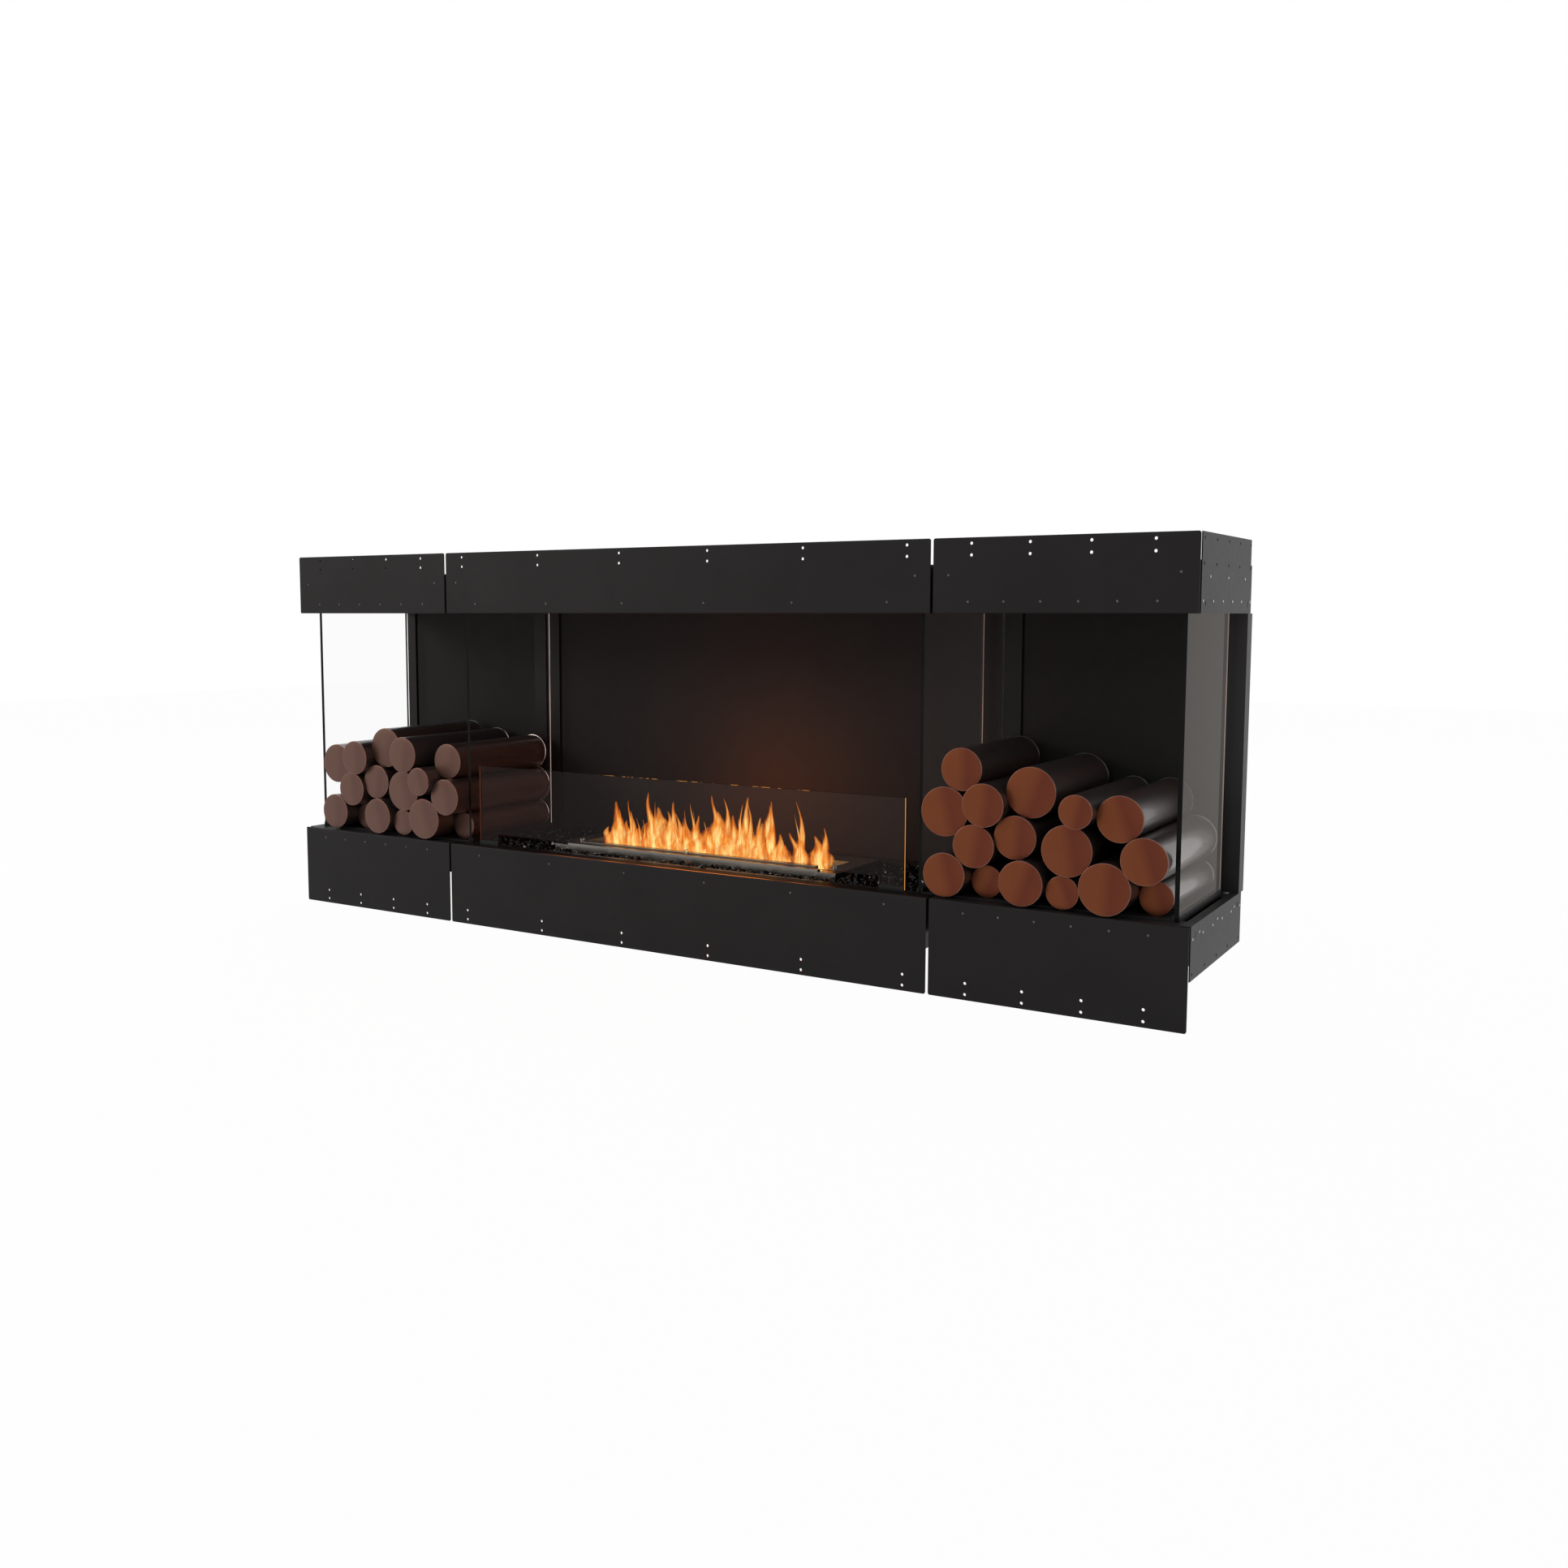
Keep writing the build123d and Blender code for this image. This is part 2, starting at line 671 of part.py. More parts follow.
with BuildPart() as fibre_pad:
    pad_half = well_half_length - fit_gap
    pad_y = (well_y[0] + fit_gap, well_y[1] - fit_gap)
    block((-pad_half, pad_half), pad_y, (inner_z[0], well_floor - sheet - pad_drop))
keep(fibre_pad, "fibre_pad")

# Deck: the brushed plate over the casing, open above the well
with BuildPart() as burner_deck:
    deck_z = (casing_top, deck_top)
    block((-burner_half_length, burner_half_length), (burner_front, burner_rear), deck_z)
    block((-well_half_length, well_half_length), well_y, deck_z, mode=Mode.SUBTRACT)
keep(burner_deck, "burner_deck")

# Front strip: a low hollow rib along the deck's front edge
with BuildPart() as front_strip:
    strip_y = (burner_front, well_y[0])
    strip_z = (deck_top, deck_top + front_strip_height)
    block((-well_half_length, well_half_length), strip_y, strip_z)
    hollow_y = (strip_y[0] + front_strip_sheet, strip_y[1] - front_strip_sheet)
    hollow_z = (deck_top, strip_z[1] - front_strip_sheet)
    block((-well_half_length, well_half_length), hollow_y, hollow_z, mode=Mode.SUBTRACT)
keep(front_strip, "burner_front_strip")

# Studs beside the well, and the bolts on the front apron
with BuildPart() as deck_studs:
    stud_x = well_half_length + stud_outset
    stud_middle = sum(slot_y) / 2
    stud_ys = (stud_middle - stud_pitch / 2, stud_middle + stud_pitch / 2)
    places = [(sign * stud_x, y) for sign in sides.values() for y in stud_ys]
    round_bars(Plane.XY.offset(deck_top), places, stud_radius, stud_height)
    stud_tops = deck_studs.edges().group_by(Axis.Z)[-1]
    fillet(stud_tops, stud_radius / 3)
keep(deck_studs, "deck_studs")

with BuildPart() as apron_bolts:
    bolt_x = casing_half - apron_bolt_radius - deck_overhang
    places = [(sign * bolt_x, casing_top - apron_bolt_drop) for sign in sides.values()]
    round_bars(Plane.XZ.offset(-casing_y[0]), places, apron_bolt_radius, deck_overhang)
keep(apron_bolts, "apron_bolts")

# Shut-off lid: a plate that slides back over the flame slot, with a hollow bar and a hook eye
lid_half = well_half_length - lid_end_gap
lid_bottom = well_floor + lid_running_gap
lid_top = lid_bottom + lid_sheet
lid_bar_y = (lid_y[0] + lid_bar_front_inset, lid_y[0] + lid_bar_front_inset + lid_bar_width)
lid_bar_top = lid_top + lid_bar_height

with BuildPart() as shutoff_lid:
    block((-lid_half, lid_half), lid_y, (lid_bottom, lid_top))
keep(shutoff_lid, "shutoff_lid")

with BuildPart() as lid_bar:
    bar_x = (lid_bar_end_inset - lid_half, lid_half - lid_bar_end_inset)
    block(bar_x, lid_bar_y, (lid_top, lid_bar_top))
    hollow_y = (lid_bar_y[0] + lid_sheet, lid_bar_y[1] - lid_sheet)
    block(bar_x, hollow_y, (lid_top, lid_bar_top - lid_sheet), mode=Mode.SUBTRACT)
keep(lid_bar, "lid_bar")

with BuildPart() as lid_eye:
    tab_x = (-lid_eye_offset - lid_eye_tab_width / 2, -lid_eye_offset + lid_eye_tab_width / 2)
    tab_y = (lid_bar_y[0] - 2 * lid_eye_wire, lid_bar_y[0])
    eye_z = lid_bar_top + lid_eye_rise
    tab_top = eye_z - lid_eye_radius
    block(tab_x, tab_y, (tab_top - lid_eye_tab_height, tab_top))
    with Locations((-lid_eye_offset, sum(tab_y) / 2, eye_z)):
        Torus(lid_eye_radius, lid_eye_wire, rotation=(90, 0, 0))
keep(lid_eye, "lid_eye")


# Log piles: each log is a steel tube with a copper cap at both ends
class Log:
    """One log: the middle of its circle, its radius and how far its front lies behind the fascia."""

    def __init__(self, x, z, radius):
        self.x = x
        self.z = z
        self.radius = radius
        self.setback = 0


log_box_width = outer_glass_x[0] - divider_glass_x[1]
large_log_radius = large_log_share * log_box_width
middle_log_radius = middle_log_share * log_box_width
stout_log_radius = stout_log_share * log_box_width
notch_log_radius = notch_log_share * log_box_width
small_log_radius = small_log_share * log_box_width


def on_floor(place_share, radius):
    """A log on the floor, at a share of the log box's width from the divider."""
    return Log(divider_glass_x[1] + place_share * log_box_width, log_floor_top + radius, radius)


def on_two(first, second, radius):
    """A log that rests on two others, the first on its left."""
    first_reach = first.radius + radius + fit_gap
    second_reach = second.radius + radius + fit_gap
    dx = second.x - first.x
    dz = second.z - first.z
    apart = hypot(dx, dz)
    along = (apart**2 + first_reach**2 - second_reach**2) / (2 * apart)
    out = sqrt(first_reach**2 - along**2)
    x = first.x + (along * dx - out * dz) / apart
    z = first.z + (along * dz + out * dx) / apart
    return Log(x, z, radius)


def against_divider(support, radius):
    """A log that rests on one other and leans on the divider glass."""
    x = divider_glass_x[1] + fit_gap + radius
    reach = support.radius + radius + fit_gap
    return Log(x, support.z + sqrt(reach**2 - (support.x - x) ** 2), radius)


def leaning(support, radius, lean):
    """A log that touches one other, at an angle to the left of straight above it."""
    reach = support.radius + radius + fit_gap
    x = support.x - reach * sin(radians(lean))
    return Log(x, support.z + reach * cos(radians(lean)), radius)


floor_radii = (
    middle_log_radius,
    small_log_radius,
    middle_log_radius,
    small_log_radius,
    large_log_radius,
    small_log_radius,
)
floor_logs = [on_floor(share, radius) for share, radius in zip(floor_place_shares, floor_radii)]
middle_logs = [on_two(floor_logs[0], floor_logs[1], stout_log_radius)]
middle_logs += [
    on_two(middle_logs[0], floor_logs[2], stout_log_radius),
    on_two(floor_logs[3], floor_logs[4], large_log_radius),
    on_two(floor_logs[4], floor_logs[5], middle_log_radius),
]
upper_logs = [
    against_divider(middle_logs[0], large_log_radius),
    on_two(middle_logs[0], middle_logs[1], stout_log_radius),
]
upper_logs.append(on_two(upper_logs[1], middle_logs[1], large_log_radius))

right_shoulder = leaning(middle_logs[3], middle_log_radius, shoulder_lean)
right_wedge = on_two(middle_logs[2], right_shoulder, small_log_radius)
right_peak = on_two(upper_logs[0], upper_logs[1], stout_log_radius)
right_logs = [right_shoulder, right_wedge, right_peak]

left_notch = on_two(middle_logs[2], middle_logs[3], notch_log_radius)
left_peak = on_two(upper_logs[2], middle_logs[2], middle_log_radius)
left_end = on_two(left_notch, middle_logs[3], stout_log_radius)
left_logs = [left_notch, left_peak, left_end]

staggered_logs = (
    (floor_logs, floor_stagger_shares),
    (middle_logs, middle_stagger_shares),
    (upper_logs, upper_stagger_shares),
    (right_logs, right_stagger_shares),
    (left_logs, left_stagger_shares),
)
for logs, stagger_shares in staggered_logs:
    for log, stagger_share in zip(logs, stagger_shares):
        log.setback = stagger_share * log_stagger

shared_logs = floor_logs + middle_logs + upper_logs
log_piles = {
    "left": shared_logs + left_logs,
    "right": shared_logs + right_logs,
}
pile_shifts = {"left": -divider_glass_x[1] - outer_glass_x[0], "right": 0}
log_rear = post_front - log_rear_gap


def rod(log, shift, radius, start, end, mode=Mode.ADD):
    """A rod along a log, between two places in depth."""
    with Locations((log.x + shift, (start + end) / 2, log.z)):
        Cylinder(radius, end - start, rotation=(90, 0, 0), mode=mode)


for name, logs in log_piles.items():
    shift = pile_shifts[name]
    with BuildPart() as log_tubes:
        for log in logs:
            ends = (front + log.setback + log_cap_thickness, log_rear - log_cap_thickness)
            rod(log, shift, log.radius, *ends)
            rod(log, shift, log.radius - log_wall, *ends, mode=Mode.SUBTRACT)
    keep(log_tubes, f"log_tubes_{name}")

    with BuildPart() as log_caps:
        for log in logs:
            start = front + log.setback
            rod(log, shift, log.radius, start, start + log_cap_thickness)
            rod(log, shift, log.radius, log_rear - log_cap_thickness, log_rear)
        fillet(log_caps.edges().filter_by(GeomType.CIRCLE), log_cap_edge)
    keep(log_caps, f"log_caps_{name}")

# Rivets: domed heads outside, shanks through both sheets
with BuildPart() as fascia_rivets:
    places = [place for name in panel_spans for place in header_rivets(name) + lower_rivets(name)]
    face = Plane.XZ.offset(-front)
    round_bars(face, places, rivet_head_radius, rivet_head_height)
    heads = fascia_rivets.edges().group_by(Axis.Y)[0]
    fillet(heads, rivet_head_height - fit_gap)
    round_bars(face, places, rivet_shank_radius, -3 * sheet)
keep(fascia_rivets, "fascia_rivets")

with BuildPart() as side_rivets:
    places = end_upper_rivets + end_lower_rivets
    for sign in sides.values():
        face = Plane.YZ.offset(sign * side_outer)
        round_bars(face, places, rivet_head_radius, sign * rivet_head_height)
    ends = side_rivets.edges().group_by(Axis.X)
    fillet(ends[0] + ends[-1], rivet_head_height - fit_gap)
    for sign in sides.values():
        face = Plane.YZ.offset(sign * side_outer)
        round_bars(face, places, rivet_shank_radius, -3 * sign * sheet)
keep(side_rivets, "side_rivets")
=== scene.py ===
import itertools
import math

import bpy
import numpy as np
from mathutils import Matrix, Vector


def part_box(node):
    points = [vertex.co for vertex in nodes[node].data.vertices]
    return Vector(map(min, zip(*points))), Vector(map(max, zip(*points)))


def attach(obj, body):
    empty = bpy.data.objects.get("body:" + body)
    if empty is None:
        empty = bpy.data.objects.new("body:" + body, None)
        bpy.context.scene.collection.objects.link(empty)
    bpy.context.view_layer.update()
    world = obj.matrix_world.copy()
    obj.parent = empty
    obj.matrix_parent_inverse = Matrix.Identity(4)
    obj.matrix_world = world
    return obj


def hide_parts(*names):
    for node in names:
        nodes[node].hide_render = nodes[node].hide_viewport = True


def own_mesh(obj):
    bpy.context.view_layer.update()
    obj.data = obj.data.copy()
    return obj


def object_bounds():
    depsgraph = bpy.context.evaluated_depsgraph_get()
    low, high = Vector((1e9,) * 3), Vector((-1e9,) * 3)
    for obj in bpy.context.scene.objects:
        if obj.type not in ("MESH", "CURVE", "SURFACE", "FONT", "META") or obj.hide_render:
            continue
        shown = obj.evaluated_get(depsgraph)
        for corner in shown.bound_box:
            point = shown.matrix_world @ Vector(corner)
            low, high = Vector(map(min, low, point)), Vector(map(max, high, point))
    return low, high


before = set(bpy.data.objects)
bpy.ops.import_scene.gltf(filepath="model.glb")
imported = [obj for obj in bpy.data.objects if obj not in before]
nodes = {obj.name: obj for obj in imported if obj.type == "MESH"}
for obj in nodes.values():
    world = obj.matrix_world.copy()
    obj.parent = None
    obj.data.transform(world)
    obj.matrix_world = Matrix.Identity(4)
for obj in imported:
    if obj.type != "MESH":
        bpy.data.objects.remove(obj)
cad_low, cad_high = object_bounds()

# The camera stands to the right of the fireplace, at the height of its header, and looks
# across it to the left. The lens and the small shift give the photograph's own frame.
camera_place = (1.61426, -2.50031, 0.59744)
camera_tilt = 84.611
camera_turn = 32.275
camera_lens = 32.83
camera_shift = (0.03555, -0.02289)

camera_data = bpy.data.cameras.new("studio_camera")
camera_data.lens = camera_lens
camera_data.shift_x, camera_data.shift_y = camera_shift
camera = bpy.data.objects.new("studio_camera", camera_data)
camera.location = camera_place
camera.rotation_euler = (math.radians(camera_tilt), 0, math.radians(camera_turn))
bpy.context.scene.collection.objects.link(camera)
bpy.context.scene.camera = camera


# The front panels and side plates are folded from steel sheet and powder-coated in
# anthracite: a matt coat with a fine orange-peel texture and faint cloudy patches.
def srgb(red, green, blue):
    """A colour written as it looks on a screen, 0 to 255, as the shader's linear colour."""
    shares = np.array([red, green, blue]) / 255
    linear = np.where(shares > 0.04045, ((shares + 0.055) / 1.055) ** 2.4, shares / 12.92)
    return (*(float(share) for share in linear), 1.0)


class Wire:
    """A shader socket: arithmetic on it adds the Math nodes that work it out."""

    def __init__(self, finish, socket):
        self.finish = finish
        self.socket = socket

    def math(self, operation, *values):
        return self.finish.node("ShaderNodeMath", {"operation": operation}, dict(enumerate(values)))

    def __add__(self, other):
        return self.math("ADD", self, other)

    def __sub__(self, other):
        return self.math("SUBTRACT", self, other)

    def __mul__(self, other):
        return self.math("MULTIPLY", self, other)

    def __rsub__(self, other):
        return self.math("SUBTRACT", other, self)

    def __pow__(self, other):
        return self.math("POWER", self, other)

    __radd__ = __add__
    __rmul__ = __mul__

    def size(self):
        return self.math("ABSOLUTE", self)

    def most(self, other):
        return self.math("MAXIMUM", self, other)

    def ramp(self, start, end):
        """0 up to start, 1 from end on, and a straight rise between the two."""
        settings = {"interpolation_type": "LINEAR", "clamp": True}
        return self.finish.node("ShaderNodeMapRange", settings, {0: self, 1: start, 2: end})


class Finish:
    """A material, or the world that is handed in. Its node method adds a shader node: settings
    first, then the values or links of its sockets."""

    def __init__(self, name, world=None):
        self.material = world or bpy.data.materials.new(name)
        self.material.use_nodes = True
        self.tree = self.material.node_tree
        self.tree.nodes.clear()

    def node(self, kind, settings=None, sockets=None, output=0):
        made = self.tree.nodes.new(kind)
        for name, value in (settings or {}).items():
            setattr(made, name, value)
        for name, value in (sockets or {}).items():
            if isinstance(value, Wire):
                self.tree.links.new(value.socket, made.inputs[name])
            else:
                made.inputs[name].default_value = value
        return Wire(self, made.outputs[output])

    def place(self, stretch=(1, 1, 1)):
        """Object coordinates in metres, scaled along each axis."""
        place = self.node("ShaderNodeTexCoord", output="Object")
        return self.node("ShaderNodeMapping", {}, {"Vector": place, "Scale": stretch})

    def along(self, axis):
        """How far a point lies along one axis of the object, in metres."""
        return self.node("ShaderNodeSeparateXYZ", {}, {0: self.place()}, axis)

    def noise(self, scale, detail=2.0, stretch=(1, 1, 1)):
        """Soft random patches, from 0 to 1, about 1 / scale metres across."""
        sockets = {"Vector": self.place(stretch), "Scale": scale, "Detail": detail}
        return self.node("ShaderNodeTexNoise", {}, sockets, "Fac")

    def blend(self, first, second, share):
        """The first colour where the share is 0, the second where it is 1."""
        return self.node("ShaderNodeMix", {"data_type": "RGBA"}, {0: share, 6: first, 7: second}, 2)

    def bump(self, height, depth):
        """A surface normal from a height between 0 and 1, for a relief of that depth."""
        return self.node("ShaderNodeBump", {}, {"Strength": 1.0, "Distance": depth, "Height": height})

    def shade(self, **sockets):
        """A Principled surface; a socket's name is written with _ for a space."""
        named = {name.replace("_", " "): value for name, value in sockets.items()}
        return self.node("ShaderNodeBsdfPrincipled", {}, named)

    def done(self, surface, output="ShaderNodeOutputMaterial"):
        """The finished material, with this surface on its output."""
        end = self.tree.nodes.new(output)
        self.tree.links.new(surface.socket, end.inputs["Surface"])
        return self.material


def dress(material, *names):
    """Give nodes of the frame their finish."""
    for name in names:
        nodes[name].data.materials.clear()
        nodes[name].data.materials.append(material)


peel_relief = 0.00008
patch_swing = 0.06


def powder_coat(name, dark, light, roughness, level):
    """Cloudy colour between two close tones, and patches a little more or less matt, over an
    orange-peel relief."""
    finish = Finish(name)
    clouds = finish.noise(9, 3)
    peel = finish.noise(900, 1)
    patches = finish.noise(60, 2)
    return finish.done(
        finish.shade(
            Base_Color=finish.blend(dark, light, clouds.ramp(0.3, 0.7)),
            Roughness=patches * patch_swing + (roughness - patch_swing / 2),
            Specular_IOR_Level=level,
            Normal=finish.bump(peel, peel_relief),
        )
    )


heights = ("header", "lower")
thirds = ("left", "centre", "right")
panel_parts = [f"{height}_fascia_{side}" for height in heights for side in thirds]
plate_parts = [f"{height}_side_{side}" for height in heights for side in ("left", "right")]
anthracite = powder_coat("fascia_paint", srgb(31, 29, 29), srgb(35, 33, 33), 0.5, 0.12)
side_coat = powder_coat("side_paint", srgb(34, 33, 33), srgb(39, 38, 38), 0.45, 0.16)
dress(anthracite, *panel_parts)
dress(side_coat, *plate_parts)

# Behind the panels lie the hoods, ceilings, trays and posts, and the back panels between the
# posts. They are sheet steel in a heat-proof black paint, flattest on the back panels. The
# right end post shows outside the glass and has the smoother outside coat.
stove_black = powder_coat("black_paint", srgb(22, 20, 19), srgb(26, 23, 22), 0.42, 0.14)
back_black = powder_coat("back_paint", srgb(22, 20, 19), srgb(25, 22, 21), 0.7, 0.2)
post_coat = powder_coat("post_paint", srgb(30, 28, 28), srgb(34, 32, 32), 0.45, 0.26)
inner_parts = [f"{part}_{side}" for part in ("hood", "ceiling", "base_tray") for side in thirds]
post_parts = [name for name in nodes if name.startswith("post_")]
dress(back_black, *(f"back_panel_{side}" for side in thirds))
dress(stove_black, *inner_parts, *post_parts)
dress(post_coat, "post_right_outer")


# The fold along the top of the middle lower panel carries a painted highlight of the fire's
# light at its front corner, over the length of the burner.
def edge_faces(name, axis, sign, material):
    """Give the faces of a node that look one way along an axis a finish of their own: those
    whose unit normal has nearly its whole length along that way."""
    mesh = nodes[name].data
    if material.name not in mesh.materials:
        mesh.materials.append(material)
    normals = np.zeros(len(mesh.polygons) * 3)
    mesh.polygons.foreach_get("normal", normals)
    slots = np.zeros(len(mesh.polygons), dtype=np.int32)
    mesh.polygons.foreach_get("material_index", slots)
    facing = normals.reshape(-1, 3)[:, axis] * sign > facing_share
    slots[facing] = mesh.materials.find(material.name)
    mesh.polygons.foreach_set("material_index", slots)


black = srgb(0, 0, 0)
facing_share = 0.9
fold_glint_width = 0.0026
sharp_share = 0.8
lit_middle = 0.03
lit_half = 0.16
faded_half = 0.36

# Painted highlight: a lighter, emitted orange line down the fold's front corner, broken into runs,
# stands in for the fire's light. The rest of the top face is a painted shade, darker than the coat.
fold_glint = Finish("fold_painted_glint")
from_front = fold_glint.along(1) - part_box("lower_fascia_centre")[0][1]
fold_line = 1 - from_front.ramp(fold_glint_width * sharp_share, fold_glint_width)
fold_glint_breaks = fold_glint.noise(1, 2, (9, 1, 1)).ramp(0.36, 0.56) * 0.8 + 0.2
fold_reach = 1 - (fold_glint.along(0) - lit_middle).size().ramp(lit_half, faded_half)
fold_light = fold_line * (fold_reach * fold_glint_breaks)
fold_painted_glint = fold_glint.done(
    fold_glint.shade(
        Base_Color=fold_glint.blend(srgb(17, 15, 15), srgb(60, 38, 26), fold_line),
        Roughness=0.5,
        Specular_IOR_Level=0.1,
        Emission_Color=fold_glint.blend(black, srgb(255, 132, 62), fold_light),
        Emission_Strength=2.6,
    )
)
edge_faces("lower_fascia_centre", 2, 1, fold_painted_glint)

# The log box floors are plain pans in the outside coat. The glass rails, the windscreen's
# shoes and the bed pan are thinner sheet in a satin black.
satin_black = powder_coat("rail_black", srgb(22, 22, 22), srgb(27, 27, 27), 0.33, 0.3)
dress(anthracite, "log_floor_left", "log_floor_right")
dress(satin_black, "outer_glass_rails", "divider_glass_rails", "windscreen_shoes", "bed_pan")


# The glass is clear toughened plate, held in the rails. A painted reflection, an emitted film
# in the studio's light colour, lies over it towards a glancing view, and its polished edges
# carry painted highlights of the light inside the pane.
corner_line = 0.0011


def clear_plate(name, tint, film, glance_share, veil):
    """Clear glass under an emitted film, a painted reflection: its share grows with the fifth power
    of the glancing angle's share, as a pane's reflection does, above a faint even painted sheen."""
    finish = Finish(name)
    clear = finish.node("ShaderNodeBsdfTransparent", {}, {"Color": tint})
    painted_film = finish.node("ShaderNodeEmission", {}, {"Color": film, "Strength": 1.0})
    glance = finish.node("ShaderNodeLayerWeight", {}, {"Blend": 0.5}, "Facing")
    share = glance ** 5.0 * glance_share + veil
    return finish.done(finish.node("ShaderNodeMixShader", {}, {0: share, 1: clear, 2: painted_film}))


def polished_edge(name, dark, bright):
    """A pane's front edge: dark glass with paler runs up it, painted light caught in the edge."""
    finish = Finish(name)
    runs = finish.noise(1, 2, (1, 1, 6)).ramp(0.4, 0.7)
    colour = finish.blend(dark, bright, runs)
    return finish.done(finish.shade(Base_Color=colour, Roughness=0.2, Specular_IOR_Level=0.06))


def lit_edge(dark, bright, glow, line):
    """An edge of a pane that the fire or the room lights up where the line's value is one."""
    finish = line.finish
    return finish.done(
        finish.shade(
            Base_Color=finish.blend(dark, bright, line),
            Roughness=0.2,
            Specular_IOR_Level=0.2,
            Emission_Color=finish.blend(black, bright, line),
            Emission_Strength=glow,
        )
    )


def lit_corner(name, axis, place, dark, bright, glow):
    """A pane's edge, dark but for one bright line down the corner at that place."""
    finish = Finish(name)
    from_corner = (finish.along(axis) - place).size()
    line = 1 - from_corner.ramp(corner_line * sharp_share, corner_line)
    runs = finish.noise(1, 2, (1, 1, 9)).ramp(0.2, 0.5) * 0.6 + 0.4
    return lit_edge(dark, bright, glow, line * runs)


outer_plate = clear_plate("clear_glass", srgb(253, 253, 253), srgb(255, 249, 242), 0.2, 0.002)
divider_plate = clear_plate("divider_glass", srgb(254, 254, 254), srgb(255, 246, 238), 0.04, 0.0002)
front_edge = polished_edge("glass_front_edge", srgb(12, 12, 12), srgb(26, 26, 26))
for name, plate, line_colour, glow in (
    ("outer_glass_left", outer_plate, srgb(240, 240, 238), 0.6),
    ("outer_glass_right", outer_plate, srgb(165, 138, 126), 0.1),
    ("divider_glass_left", divider_plate, srgb(220, 198, 190), 0.3),
    ("divider_glass_right", divider_plate, srgb(165, 138, 126), 0.1),
):
    line_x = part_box(name)[1][0] - corner_line
    rear_edge = lit_corner(f"{name}_rear", 0, line_x, srgb(26, 24, 23), line_colour, glow)
    dress(plate, name)
    edge_faces(name, 1, -1, front_edge)
    edge_faces(name, 1, 1, rear_edge)

# The windscreen is a lower pane on two legs of its own glass, loose in its shoes. Its edges
# catch the fire in short glints along the top, and in a longer line down the right end.
screen_low, screen_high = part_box("windscreen_glass")
glint_fade = 0.05
glint_width = 0.002
glint_end = 0.0026
run_fade = 0.05
fire_left = -0.14
fire_right = 0.3
right_leg = 0.4


def glints(name, low_x, high_x, stretch, runs_from, bright, glow):
    """The windscreen's edge with glints of the fire down its front corner, only between two
    places along the front."""
    finish = Finish(name)
    across = finish.along(0)
    over_fire = across.ramp(low_x - glint_fade, low_x) * (1 - across.ramp(high_x, high_x + glint_fade))
    corner = 1 - finish.along(1).ramp(screen_low[1] + glint_width, screen_low[1] + glint_end)
    runs = finish.noise(1, 2, stretch).ramp(runs_from, runs_from + run_fade)
    return lit_edge(srgb(34, 32, 31), bright, glow, runs * over_fire * corner)


screen_glass = clear_plate("windscreen_plate", srgb(252, 252, 252), srgb(255, 236, 232), 0.04, 0.0052)
top_edge = glints(
    "windscreen_top_edge", fire_left, fire_right, (60, 1, 1), 0.51, srgb(250, 170, 72), 1.3
)
right_edge = glints(
    "windscreen_right_edge", right_leg, screen_high[0], (1, 1, 14), 0.4, srgb(245, 160, 74), 0.9
)
left_edge = lit_corner(
    "windscreen_left_edge", 1, screen_low[1], srgb(34, 30, 29), srgb(150, 104, 78), 0.2
)
dress(screen_glass, "windscreen_glass")
edge_faces("windscreen_glass", 2, 1, top_edge)
edge_faces("windscreen_glass", 0, 1, right_edge)
edge_faces("windscreen_glass", 2, -1, front_edge)
edge_faces("windscreen_glass", 0, -1, left_edge)

# The logs are steel tubes stacked loose in two piles, sprayed in gloss black lacquer. Its
# colour is lifted above black as a painted sheen, faint warm streaks along them are a painted
# reflection of the fire, and the clear top coat gives back the caps beside it softly.
lacquer = Finish("gloss_black")
lacquer_ripple = lacquer.noise(30, 2)
painted_fire_streaks = lacquer.noise(1, 2, (40, 1.5, 40)).ramp(0.35, 0.75)
gloss_black = lacquer.done(
    lacquer.shade(
        Base_Color=lacquer.blend(srgb(42, 37, 36), srgb(60, 43, 38), painted_fire_streaks),
        Roughness=lacquer_ripple * 0.04 + 0.34,
        Specular_IOR_Level=0.45,
        Coat_Weight=0.45,
        Coat_Roughness=0.12,
    )
)
dress(gloss_black, "log_tubes_left", "log_tubes_right")

# Each log is closed at both ends by a copper cap, a flat disc spun on a lathe and pushed in.
# The front cap has a rounded rim in a paler copper, a painted highlight, and the rear one a
# proud bead. The caps take the place of the plain ones in the frame.
spun_relief = 0.00004
bead_fade = 0.01


def copper_finish(name, light, dark, coat):
    """Spun copper with a painted highlight and a painted shade in two halves: one side of the
    disc's middle line light, the other dark and growing lighter again towards the rim."""
    copper = Finish(name)
    disc = copper.node("ShaderNodeUVMap", {"uv_map": "disc"})
    side = copper.node("ShaderNodeSeparateXYZ", {}, {0: disc}, 0) * 2 - 1
    shadow = side.ramp(-0.2, 0.3) * (1 - side.ramp(0.3, 1.1) * 0.45)
    grain = copper.noise(260, 3)
    patina = copper.noise(16, 3).ramp(0.3, 0.7) * 0.2
    return copper.done(
        copper.shade(
            Base_Color=copper.blend(light, dark, shadow * 0.85 + patina),
            Metallic=0.85,
            Roughness=grain * 0.1 + 0.36,
            Specular_IOR_Level=0.3,
            Coat_Weight=coat,
            Coat_Roughness=0.3,
            Normal=copper.bump(grain, spun_relief),
        )
    )


def bright_rim(name, dark, light):
    """The rim of a cap in a paler copper, a painted highlight, with small nicks of a darker tone."""
    rim = Finish(name)
    nicks = rim.blend(dark, light, rim.noise(90, 2))
    return rim.done(rim.shade(Base_Color=nicks, Metallic=0.7, Roughness=0.34))


